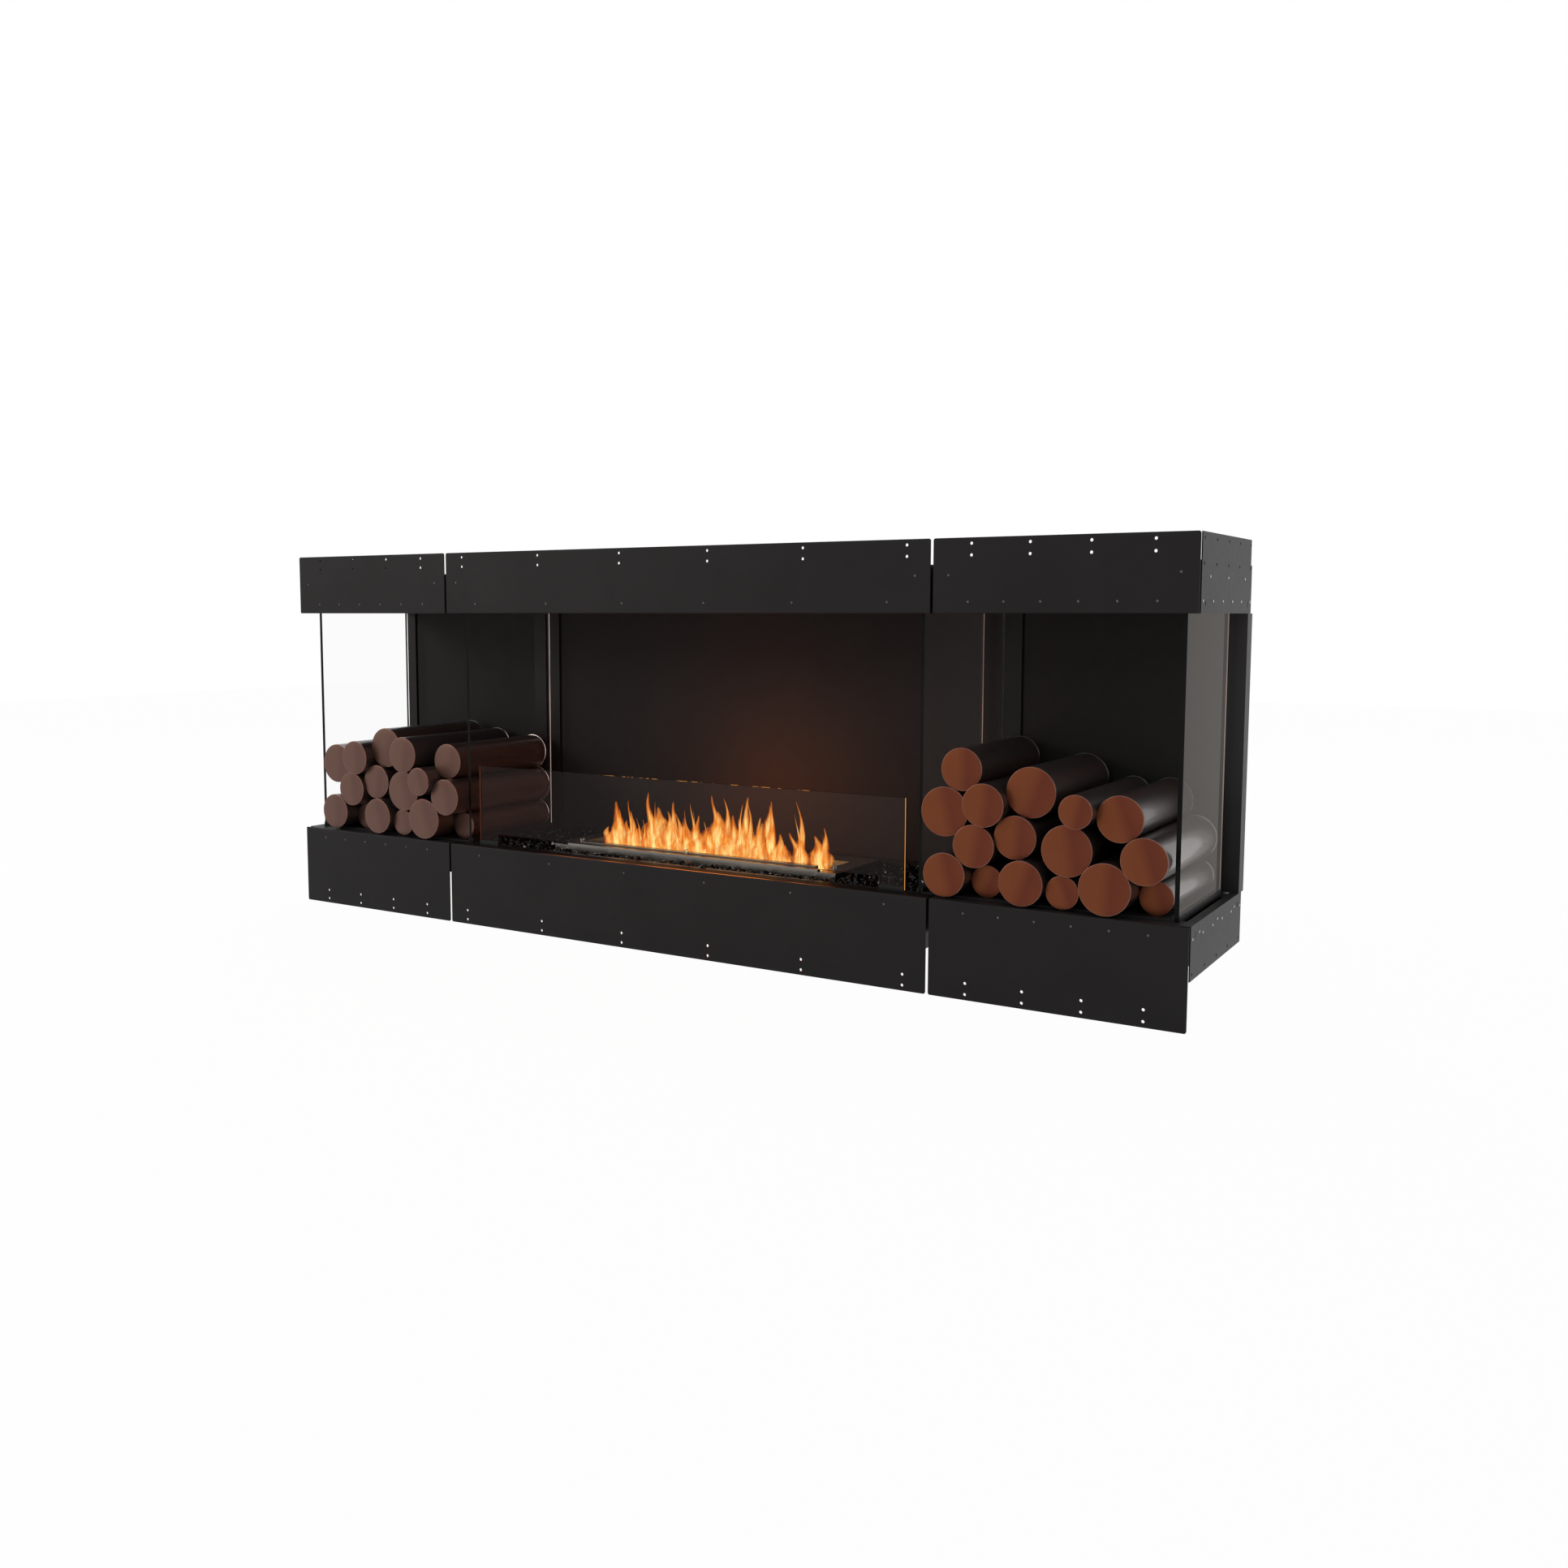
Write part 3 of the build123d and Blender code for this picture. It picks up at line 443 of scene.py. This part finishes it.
def bead_highlight(name, low_x, high_z, bright):
    """The rear cap's bead: a painted highlight, bright and metallic on the logs beyond one place
    and below one height, and dark elsewhere."""
    bead = Finish(name)
    inner = bead.along(0).ramp(low_x, low_x + bead_fade)
    highlight_share = inner * (1 - bead.along(2).ramp(high_z, high_z + bead_fade))
    colour = bead.blend(srgb(30, 26, 25), bright, highlight_share * (bead.noise(24, 2) * 0.5 + 0.6))
    return bead.done(bead.shade(Base_Color=colour, Metallic=highlight_share * 0.85, Roughness=0.2))


def new_piece(name, points, faces, material, body, smooth=False):
    """A mesh from an array of points and a few arrays of faces, finished, and carried by a
    body."""
    mesh = bpy.data.meshes.new(name)
    mesh.from_pydata(points.tolist(), [], [face for rows in faces for face in rows.tolist()])
    mesh.polygons.foreach_set("use_smooth", [smooth] * len(mesh.polygons))
    mesh.materials.append(material)
    mesh.update()
    piece = bpy.data.objects.new(name, mesh)
    bpy.context.scene.collection.objects.link(piece)
    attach(piece, body)
    return piece


def map_points(piece, name, places):
    """A UV map that gives every corner of a face its point's own place."""
    corners = np.zeros(len(piece.data.loops), dtype=np.int32)
    piece.data.loops.foreach_get("vertex_index", corners)
    piece.data.uv_layers.new(name=name).data.foreach_set("uv", places[corners].ravel())


nearly_flat = 0.999
rear_reach = 0.05
same_log = 0.004
no_length = 1e-12


def front_discs(name):
    """The front discs of a frame node's caps, as rows of x, z, radius and y. All corners of a
    flat disc's triangles lie on its circle, so the circle through three of them is the disc's."""
    mesh = nodes[name].data
    points = np.zeros(len(mesh.vertices) * 3)
    mesh.vertices.foreach_get("co", points)
    corners = np.zeros(len(mesh.loops), dtype=np.int32)
    mesh.loops.foreach_get("vertex_index", corners)
    first, second, third = np.moveaxis(points.reshape(-1, 3)[corners].reshape(-1, 3, 3), 1, 0)
    normals = np.cross(second - first, third - first)
    normals /= np.linalg.norm(normals, axis=1, keepdims=True) + no_length
    in_front = first[:, 1] < first[:, 1].max() - rear_reach
    flat = (normals[:, 1] < -nearly_flat) & in_front
    a, b, c = (corner[flat][:, [0, 2]] for corner in (first, second, third))
    ab, ac = b - a, c - a
    area = 2 * (ab[:, 0] * ac[:, 1] - ab[:, 1] * ac[:, 0])
    square_b, square_c = (ab**2).sum(1), (ac**2).sum(1)
    across = (ac[:, 1] * square_b - ab[:, 1] * square_c) / area
    up = (ab[:, 0] * square_c - ac[:, 0] * square_b) / area
    centres = np.stack([a[:, 0] + across, a[:, 1] + up], axis=1)
    rows = np.column_stack([centres, np.hypot(across, up), first[flat][:, 1]])
    picks = np.unique(np.round(centres / same_log), axis=0, return_index=True)[1]
    return rows[picks]


cap_around = 56
cap_edge = 0.0008
rim_depth = 0.0036
rim_lift = 0.0002
bead_radius = 0.0015
face_ring_shares = (0.35, 0.7)
back_ring_share = 0.5


def turned_caps(discs, rear):
    """Caps turned round their logs' middle lines. The outline runs from the middle of the face
    out to the rim, round it, and back in behind: a quarter circle and a short skirt on a front
    cap, and half a circle, a proud bead, on a rear one."""
    if rear:
        bend = np.linspace(0, np.pi, 6)
        rim_back = bead_radius * (1 - np.cos(bend))
        rim_out = bead_radius * np.sin(bend)
    else:
        bend = np.linspace(0, np.pi / 2, 5)
        rim_back = np.append(cap_edge * (1 - np.cos(bend)), rim_depth)
        rim_out = np.append(cap_edge * np.sin(bend) - cap_edge, 0)
    radius = discs[:, 2:3] + cap_edge + rim_lift
    face = radius * np.array(face_ring_shares)
    out = np.concatenate([face, radius + rim_out, radius * back_ring_share], axis=1)
    back = np.concatenate([[0] * len(face_ring_shares), rim_back, [rim_depth]])
    angle = np.linspace(0, 2 * np.pi, cap_around, endpoint=False)
    x = discs[:, 0][:, None, None] + out[:, :, None] * np.cos(angle)
    z = discs[:, 1][:, None, None] + out[:, :, None] * np.sin(angle)
    step = back[None, :, None] + 0 * x
    y = rear - step if rear else discs[:, 3][:, None, None] + step
    rings = np.stack([x, y, z], axis=-1)
    poles = np.stack([rings[:, 0].mean(1), rings[:, -1].mean(1)], axis=1)
    return np.concatenate([rings.reshape(len(discs), -1, 3), poles], axis=1)


def ring_quads(ring_count, around):
    """Quads between neighbouring rings of points, closed round their line."""
    ring = np.arange(ring_count - 1)[:, None] * around
    step = np.arange(around)[None]
    beside = (step + 1) % around
    corners = [ring + step, ring + beside, ring + around + beside, ring + around + step]
    return np.stack(corners, axis=-1).reshape(-1, 4)


def cap_faces(ring_count, outward):
    """The quads between a cap's rings, and the fans that close its two middles."""
    step = np.arange(cap_around)
    beside = (step + 1) % cap_around
    last = (ring_count - 1) * cap_around
    pole = ring_count * cap_around + 0 * step
    front = np.stack([beside, step, pole], -1)
    behind = np.stack([last + step, last + beside, pole + 1], -1)
    quads = ring_quads(ring_count, cap_around)
    return quads[:, ::outward], np.concatenate([front, behind])[:, ::outward]


twist = np.random.default_rng(5)
twist_most = 0.4


def log_ends(side, finish, rim, bead):
    """The caps of one pile, front and rear, in place of the frame's plain ones. The disc map
    holds each point's place across its own disc, turned by a few degrees from log to log."""
    name = f"log_caps_{side}"
    discs = front_discs(name)
    count = len(discs)
    shell = np.concatenate([turned_caps(discs, None), turned_caps(discs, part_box(name)[1][1])])
    size = shell.shape[1]
    ring_count = (size - 2) // cap_around
    offsets = np.arange(count)[:, None, None] * size
    faces = []
    for first, outward in ((0, -1), (count, 1)):
        for rows in cap_faces(ring_count, outward):
            faces.append((rows[None] + offsets + first * size).reshape(-1, rows.shape[1]))
    points = shell.reshape(-1, 3)
    piece = new_piece(f"log_ends_{side}", points, faces, finish, "casing", smooth=True)
    piece.data.materials.append(rim)
    piece.data.materials.append(bead)
    on_rim = np.repeat(np.arange(ring_count - 1) >= len(face_ring_shares), cap_around)
    on_back = np.repeat([0, 1], cap_around)
    slots = np.concatenate([np.tile(on_rim, count), np.tile(on_back, count)]).astype(np.int32)
    piece.data.polygons.foreach_set("material_index", np.concatenate([slots, slots * 2]))
    tilt = np.tile(twist.uniform(-twist_most, twist_most, size=(count, 1)), (2, 1))
    middles = np.tile(discs[:, :2], (2, 1))[:, None]
    local = (shell[:, :, [0, 2]] - middles) / np.tile(discs[:, 2], 2)[:, None, None]
    turned = local[..., 0] * np.cos(tilt) + local[..., 1] * np.sin(tilt)
    lifted = local[..., 1] * np.cos(tilt) - local[..., 0] * np.sin(tilt)
    map_points(piece, "disc", np.stack([turned, lifted], -1).reshape(-1, 2) * 0.5 + 0.5)
    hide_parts(name)


highlight_reach = 0.14
high_share = 0.55
# Both piles have the same copper. The left pile's caps are paler and greyer and carry a clear coat: a
# painted sheen of the light from the left.
right_copper = copper_finish("copper_right", srgb(110, 60, 36), srgb(94, 46, 33), 0.0)
left_copper = copper_finish("copper_left", srgb(97, 69, 58), srgb(87, 59, 50), 0.25)
front_rim = bright_rim("rim", srgb(110, 70, 58), srgb(158, 118, 106))
left_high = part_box("log_caps_left")[1]
right_low, right_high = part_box("log_caps_right")
right_top = right_high[2] * high_share + right_low[2] * (1 - high_share)
left_bead = bead_highlight("bead_left", left_high[0] - highlight_reach, left_high[2], srgb(235, 212, 204))
right_bead = bead_highlight("bead_right", right_high[0] - highlight_reach, right_top, srgb(120, 112, 108))
log_ends("right", right_copper, front_rim, right_bead)
log_ends("left", left_copper, front_rim, left_bead)

# The burner is brushed stainless steel, folded and welded. The brushing runs along its
# length, and heat has tinted the metal browner in faint patches.
brush_relief = 0.00006

brushed = Finish("brushed_stainless")
brush_lines = brushed.noise(1, 4, (6, 1400, 1400))
stainless = brushed.done(
    brushed.shade(
        Base_Color=brushed.blend(srgb(150, 147, 143), srgb(178, 168, 156), brushed.noise(5, 2)),
        Metallic=1.0,
        Roughness=brush_lines * 0.2 + 0.2,
        Normal=brushed.bump(brush_lines, brush_relief),
    )
)
dress(stainless, "burner_deck", "burner_front_strip", "burner_casing", "flame_well")
dress(stainless, "fuel_tank", "shutoff_lid", "lid_bar", "lid_eye")


# Rivets, studs and bolts are steel, the rivets in the front panels darkened towards the coat
# and the rest bright; the spacers between the boxes are zinc-plated.
def plain_steel(name, dark, light, metallic, smoothest, swing):
    """Steel in two close tones, with small patches a little rougher than the smoothest ones."""
    steel = Finish(name)
    return steel.done(
        steel.shade(
            Base_Color=steel.blend(dark, light, steel.noise(300, 2)),
            Metallic=metallic,
            Roughness=steel.noise(500, 1) * swing + smoothest,
        )
    )


dark_rivet = plain_steel("dark_rivet", srgb(64, 62, 60), srgb(98, 96, 94), 0.9, 0.16, 0.08)
bright_steel = plain_steel("bright_steel", srgb(150, 150, 150), srgb(190, 190, 188), 1.0, 0.22, 0.15)
dress(dark_rivet, "fascia_rivets")
dress(bright_steel, "side_rivets", "deck_studs", "apron_bolts", "joining_bolts")

zinc = Finish("zinc_steel")
spangle = zinc.blend(srgb(140, 142, 146), srgb(172, 172, 170), zinc.noise(90, 3))
dress(zinc.done(zinc.shade(Base_Color=spangle, Metallic=1.0, Roughness=0.4)), "joining_spacers")

# Inside the burner a loose pad of white ceramic fibre soaks up the fuel, and the casing
# stands on four moulded feet of black rubber.
fibre_relief = 0.0008

fibre = Finish("white_fibre")
strands = fibre.noise(1, 4, (120, 600, 600))
white_fibre = fibre.done(
    fibre.shade(
        Base_Color=fibre.blend(srgb(205, 200, 190), srgb(236, 233, 226), strands),
        Roughness=0.95,
        Normal=fibre.bump(strands, fibre_relief),
    )
)
dress(white_fibre, "fibre_pad")

rubber = Finish("black_rubber")
rubber_bloom = rubber.blend(srgb(20, 20, 20), srgb(30, 30, 30), rubber.noise(200, 2))
dress(rubber.done(rubber.shade(Base_Color=rubber_bloom, Roughness=0.8)), "burner_feet")

# The bed round the burner is covered with chips of black glass: broken pieces of 10 to 20 mm
# with flat shiny faces, thrown in loosely and heaped against the burner and the dividers.
# Each chip has the twelve corners of an icosahedron, moved in or out, and is stretched.
golden = (1 + 5**0.5) / 2
chip_points = np.array(
    [(0, a, b * golden) for a in (-1, 1) for b in (-1, 1)]
    + [(a, b * golden, 0) for a in (-1, 1) for b in (-1, 1)]
    + [(b * golden, 0, a) for a in (-1, 1) for b in (-1, 1)]
)
chip_points = chip_points / np.linalg.norm(chip_points[0])
rounding = 1e-9


def hull_faces(points):
    """The triangles of a small convex solid: of all triples of points, those that have every
    other point behind them, turned to face outwards."""
    triples = np.array(list(itertools.combinations(range(len(points)), 3)))
    first, second, third = (points[triples[:, corner]] for corner in range(3))
    normals = np.cross(second - first, third - first)
    ahead = points @ normals.T - (first * normals).sum(1)
    outward = triples[(ahead < rounding).all(0)]
    inward = triples[(ahead > -rounding).all(0)]
    return np.concatenate([outward, inward[:, ::-1]])


def random_turns(random, count):
    """Random rotations, one for each chip, from unit quaternions."""
    turns = random.normal(size=(count, 4))
    w, x, y, z = (turns / np.linalg.norm(turns, axis=1, keepdims=True)).T
    rows = [
        [1 - 2 * (y * y + z * z), 2 * (x * y - z * w), 2 * (x * z + y * w)],
        [2 * (x * y + z * w), 1 - 2 * (x * x + z * z), 2 * (y * z - x * w)],
        [2 * (x * z - y * w), 2 * (y * z + x * w), 1 - 2 * (x * x + y * y)],
    ]
    return np.moveaxis(np.array(rows), 2, 0)


random = np.random.default_rng(11)
bed_low, bed_high = (np.array(corner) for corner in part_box("glass_granulate"))
casing_low, casing_high = (np.array(corner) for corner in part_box("burner_casing"))
chip_count = 4200
chip_radius = 0.0085
chip_margin = np.array([0.004, 0.003, 0])
chip_seat_share = 0.8
heap_rise = 0.001
burner_margin = 0.013
size_shares = (0.6, 1.15)
stretch_shares = (0.65, 1.2)
corner_shares = (0.78, 1.12)

places = random.uniform(bed_low + chip_margin, bed_high - chip_margin, size=(chip_count, 3))
beside_x = np.abs(places[:, 0]) > casing_high[0] + burner_margin
before_y = places[:, 1] < casing_low[1] - burner_margin
behind_y = places[:, 1] > casing_high[1] + burner_margin
places = places[beside_x | before_y | behind_y]
rise = random.uniform(0, 1, size=len(places)) ** 0.5
bed_depth = bed_high[2] - bed_low[2] + heap_rise
places[:, 2] = bed_low[2] + chip_radius * chip_seat_share + rise * bed_depth
sizes = chip_radius * random.uniform(*size_shares, size=(len(places), 1, 1))
stretches = random.uniform(*stretch_shares, size=(len(places), 1, 3))
jitter = random.uniform(*corner_shares, size=(len(places), len(chip_points), 1))
chips = chip_points[None] * jitter * stretches * sizes
chips = chips @ random_turns(random, len(places)) + places[:, None]
offsets = np.arange(len(places))[:, None, None] * len(chip_points)
chip_faces = (hull_faces(chip_points)[None] + offsets).reshape(-1, 3)

glassy = Finish("black_glass")
chip_sheen = glassy.noise(150, 2)
black_glass = glassy.done(
    glassy.shade(
        Base_Color=glassy.blend(srgb(4, 4, 4), srgb(14, 13, 12), chip_sheen),
        Roughness=chip_sheen * 0.1 + 0.06,
        Specular_IOR_Level=0.2,
    )
)
glass_chips = new_piece("glass_chips", chips.reshape(-1, 3), [chip_faces], black_glass, "casing")
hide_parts("glass_granulate")

# The flames stand in the slot of the burner. Broad bodies overlap low down, and slender
# tongues lean and curl above them in the draught: pale yellow cores with orange edges and
# tips. Each row is a flame: its place along the slot, its tip's lean, its height, its width.
flame_shares = (
    (-0.80, -0.03, 0.36, 0.41), (-0.76, -0.03, 0.37, 0.34), (-0.69, -0.05, 0.77, 0.51),
    (-0.62, -0.05, 0.48, 0.34), (-0.59, -0.02, 0.80, 0.14), (-0.54, -0.15, 0.64, 0.31),
    (-0.49, 0.03, 0.53, 0.12), (-0.46, -0.03, 0.36, 0.41), (-0.41, -0.07, 0.94, 0.31),
    (-0.38, -0.03, 0.72, 0.96), (-0.27, -0.07, 0.68, 0.48), (-0.25, 0.14, 0.82, 0.34),
    (-0.19, -0.05, 0.66, 0.34), (-0.15, 0.00, 0.71, 0.10), (-0.14, -0.14, 0.59, 0.41),
    (-0.11, -0.05, 0.47, 0.34), (-0.07, -0.04, 0.82, 0.14), (-0.02, -0.17, 0.66, 0.33),
    (0.01, 0.00, 0.44, 0.24), (0.03, 0.00, 0.57, 0.12), (0.05, -0.07, 0.36, 0.42),
    (0.11, -0.07, 0.96, 0.33), (0.16, -0.09, 0.74, 1.00), (0.25, 0.03, 0.70, 0.51),
    (0.22, -0.10, 0.95, 0.23), (0.30, 0.38, 0.98, 0.38), (0.35, -0.07, 0.66, 0.40),
    (0.39, 0.05, 0.93, 0.19), (0.42, 0.21, 0.63, 0.45), (0.49, -0.03, 0.71, 0.29),
    (0.56, -0.14, 0.95, 0.45), (0.57, 0.05, 0.87, 0.27), (0.61, 0.17, 0.50, 0.58),
    (0.68, -0.31, 0.35, 0.45), (0.76, -0.17, 0.52, 0.41), (0.79, -0.17, 0.97, 0.21),
    (0.79, 0.05, 0.44, 0.38), (0.94, -0.14, 0.52, 0.65), (0.96, 0.04, 0.64, 0.29),
    (1.00, 0.00, 0.13, 0.21), (-0.72, 0.02, 0.42, 0.80), (-0.55, -0.04, 0.38, 0.85),
    (-0.40, 0.03, 0.46, 0.90), (-0.27, -0.03, 0.36, 0.80), (-0.14, 0.04, 0.44, 0.95),
    (0.00, -0.04, 0.40, 0.85), (0.12, 0.02, 0.48, 1.00), (0.24, -0.03, 0.42, 0.90),
    (0.38, 0.04, 0.44, 0.95), (0.50, -0.02, 0.38, 0.80), (0.63, 0.03, 0.34, 0.75),
)
tallest_flame = 0.142
widest_flame = 0.073
slot_half = 0.3
flame_rings = 28
flame_around = 16
root_share = 0.06
belly_share = 0.9
width_share = 0.68
ripple_share = 0.2
depth_share = 0.3
side_sway_share = 0.4


def tongue(root, height, width, lean, curl, phase, turn):
    """A flame: an ellipse carried up a swaying line. Its width opens at once over the root,
    swells to a belly in the lower half and narrows to the tip. The tip leans by a power of the
    height, and a sine wave that grows with the height curls the line."""
    v = np.linspace(0, 1, flame_rings)[:, None]
    angle = np.linspace(0, 2 * np.pi, flame_around, endpoint=False)[None]
    opening = np.minimum(v / root_share, 1) ** 0.5
    belly = 0.4 + 0.6 * np.sin(np.pi * np.minimum(v / belly_share, 1)) ** 1.3
    ripple = 1 + ripple_share * np.sin(8 * v + phase)
    half = width * width_share * opening * belly * (1 - v) ** 0.38 * ripple
    across = np.cos(angle) * half
    deep = np.sin(angle) * half * depth_share
    sway = lean * v**1.5 + curl * np.sin(2 * np.pi * v * 0.9 + phase) * v
    along_x = (across + sway) * np.cos(turn) - deep * np.sin(turn)
    along_y = (across + sway * side_sway_share) * np.sin(turn) + deep * np.cos(turn)
    up = height * v + 0 * angle
    points = np.stack([root[0] + along_x, root[1] + along_y, root[2] + up], axis=-1)
    u = (np.cos(angle) + 1) / 2 + 0 * v
    return points.reshape(-1, 3), np.stack([u, v + 0 * angle], axis=-1).reshape(-1, 2)


root_depth = 0.004
place_jitter = 0.002
line_jitter = 0.008
curls = (0.003, 0.011)
front_turns = (-0.3, 0.3)
crossing_turns = (1.1, 1.8)
crossing_height_shares = (0.7, 0.95)
crossing_width_share = 0.36

slot_low, slot_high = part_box("deck_studs")
flame_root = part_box("shutoff_lid")[0][2] - root_depth
flame_line = (slot_low[1] + slot_high[1]) / 2
flame_points, flame_places, flame_faces = [], [], []
for place, lean, tall, wide in flame_shares:
    for crossing, turn in enumerate((random.uniform(*front_turns), random.uniform(*crossing_turns))):
        root = (
            place * slot_half + random.uniform(-place_jitter, place_jitter),
            flame_line + random.uniform(-line_jitter, line_jitter),
            flame_root,
        )
        height = tall * tallest_flame
        width = wide * widest_flame
        if crossing:
            height *= random.uniform(*crossing_height_shares)
            width *= crossing_width_share
        curl = random.uniform(*curls)
        phase = random.uniform(0, 2 * np.pi)
        points, uv = tongue(root, height, width, lean * widest_flame, curl, phase, turn)
        offset = len(flame_points) * flame_rings * flame_around
        flame_faces.append(ring_quads(flame_rings, flame_around) + offset)
        flame_points.append(points)
        flame_places.append(uv)

fire = Finish("flame")
flame_uv = fire.node("ShaderNodeUVMap", {"uv_map": "tongue"})
across = fire.node("ShaderNodeSeparateXYZ", {}, {0: flame_uv}, 0)
upward = fire.node("ShaderNodeSeparateXYZ", {}, {0: flame_uv}, 1)
streaks = fire.noise(1, 3, (120, 120, 26))
middle = 1 - (across * 2 - 1).size()
body = middle * (1 - upward * 0.55) + (streaks - 0.5) * 2.3 * (1 - upward * 0.5)
orange = fire.blend(srgb(196, 76, 18), srgb(246, 146, 44), body.ramp(0.05, 0.5))
opacity = (middle + (streaks - 0.5) * 0.9).ramp(0.0, 0.6) * (1 - upward ** 3.0 * 0.75)
root_fade = upward.ramp(0.0, 0.08)
burning = fire.shade(
    Base_Color=black,
    Roughness=1.0,
    Specular_IOR_Level=0.0,
    Emission_Color=fire.blend(orange, srgb(255, 234, 150), body.ramp(0.44, 0.86)),
    Emission_Strength=1.15,
)
nothing = fire.node("ShaderNodeBsdfTransparent")
shown = opacity * root_fade * 0.8
flame = fire.done(fire.node("ShaderNodeMixShader", {}, {0: shown, 1: nothing, 2: burning}))
flame_quads = [np.concatenate(flame_faces)]
flames = new_piece("flames", np.concatenate(flame_points), flame_quads, flame, "burner", smooth=True)
map_points(flames, "tongue", np.concatenate(flame_places))
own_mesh(flames)

# The studio has a white floor and a white surround that light the fireplace softly. A broad
# lamp stands on the left and another behind, and a small warm one where the fire burns.
floor_half = 9.0
floor_drop = 0.0005
white_share = 0.97
sky_light = 0.6
pure_white = (1, 1, 1, 1)


def seen_rays(finish):
    """1 for what the eye meets, straight, in a mirror or through glass, and 0 for light."""
    kinds = ("Camera", "Transmission", "Glossy")
    straight, through, mirrored = (
        finish.node("ShaderNodeLightPath", {}, {}, f"Is {kind} Ray") for kind in kinds
    )
    return straight.most(through).most(mirrored)


def studio_floor():
    """One wide square just under the fireplace, white where it is seen and matt for light."""
    mesh = bpy.data.meshes.new("studio_floor")
    height = cad_low[2] - floor_drop
    signs = ((-1, -1), (1, -1), (1, 1), (-1, 1))
    mesh.from_pydata([(x * floor_half, y * floor_half, height) for x, y in signs], [], [(0, 1, 2, 3)])
    floor = bpy.data.objects.new("studio_floor", mesh)
    bpy.context.scene.collection.objects.link(floor)
    finish = Finish("studio_floor")
    white = finish.node("ShaderNodeEmission", {}, {"Color": pure_white, "Strength": 1.0})
    matt = finish.node("ShaderNodeBsdfDiffuse", {}, {"Color": srgb(245, 245, 245)})
    share = seen_rays(finish) * white_share
    mixed = finish.node("ShaderNodeMixShader", {}, {0: share, 1: matt, 2: white})
    mesh.materials.append(finish.done(mixed))


def studio_world():
    """White where it is seen, and weaker as a light."""
    sky = Finish("studio_world", bpy.data.worlds.new("studio_world"))
    strength = seen_rays(sky) * (1 - sky_light) + sky_light
    glow = sky.node("ShaderNodeBackground", {}, {"Color": pure_white, "Strength": strength})
    bpy.context.scene.world = sky.done(glow, "ShaderNodeOutputWorld")


def lamp(name, place, aim, size, power, colour):
    """A soft square lamp that faces the point it is aimed at."""
    data = bpy.data.lights.new(name, "AREA")
    data.shape = "RECTANGLE"
    data.size = size
    data.size_y = size
    data.energy = power
    data.color = colour[:3]
    light = bpy.data.objects.new(name, data)
    light.location = place
    heading = np.array(aim) - np.array(place)
    tilt = math.atan2(math.hypot(heading[0], heading[1]), -heading[2])
    light.rotation_euler = (tilt, 0, math.atan2(heading[1], heading[0]) - math.pi / 2)
    light.visible_camera = False
    bpy.context.scene.collection.objects.link(light)


def fire_glow(place, radius, power, colour):
    """The fire's light, round and unseen itself, also in what shines."""
    data = bpy.data.lights.new("fire_glow", "POINT")
    data.energy = power
    data.shadow_soft_size = radius
    data.color = colour[:3]
    light = bpy.data.objects.new("fire_glow", data)
    light.location = place
    light.visible_camera = False
    light.visible_glossy = False
    bpy.context.scene.collection.objects.link(light)


left_place = (-3.3, -3.1, 1.9)
left_aim = (0, 0, 0.3)
left_size = 1.2
left_power = 38
rear_place = (-2.2, 3.8, 2.4)
rear_aim = (0, 0.2, 0.3)
rear_size = 1.6
rear_power = 45
fire_place = (0.06, flame_line, 0.2)
fire_radius = 0.12
fire_power = 7.0
studio_floor()
studio_world()
lamp("left_softbox", left_place, left_aim, left_size, left_power, srgb(255, 252, 248))
lamp("rear_softbox", rear_place, rear_aim, rear_size, rear_power, srgb(255, 253, 250))
fire_glow(fire_place, fire_radius, fire_power, srgb(255, 128, 40))

# Colours are shown as they are written. Nothing here may make the fireplace bigger.
bpy.context.scene.view_settings.view_transform = "Standard"
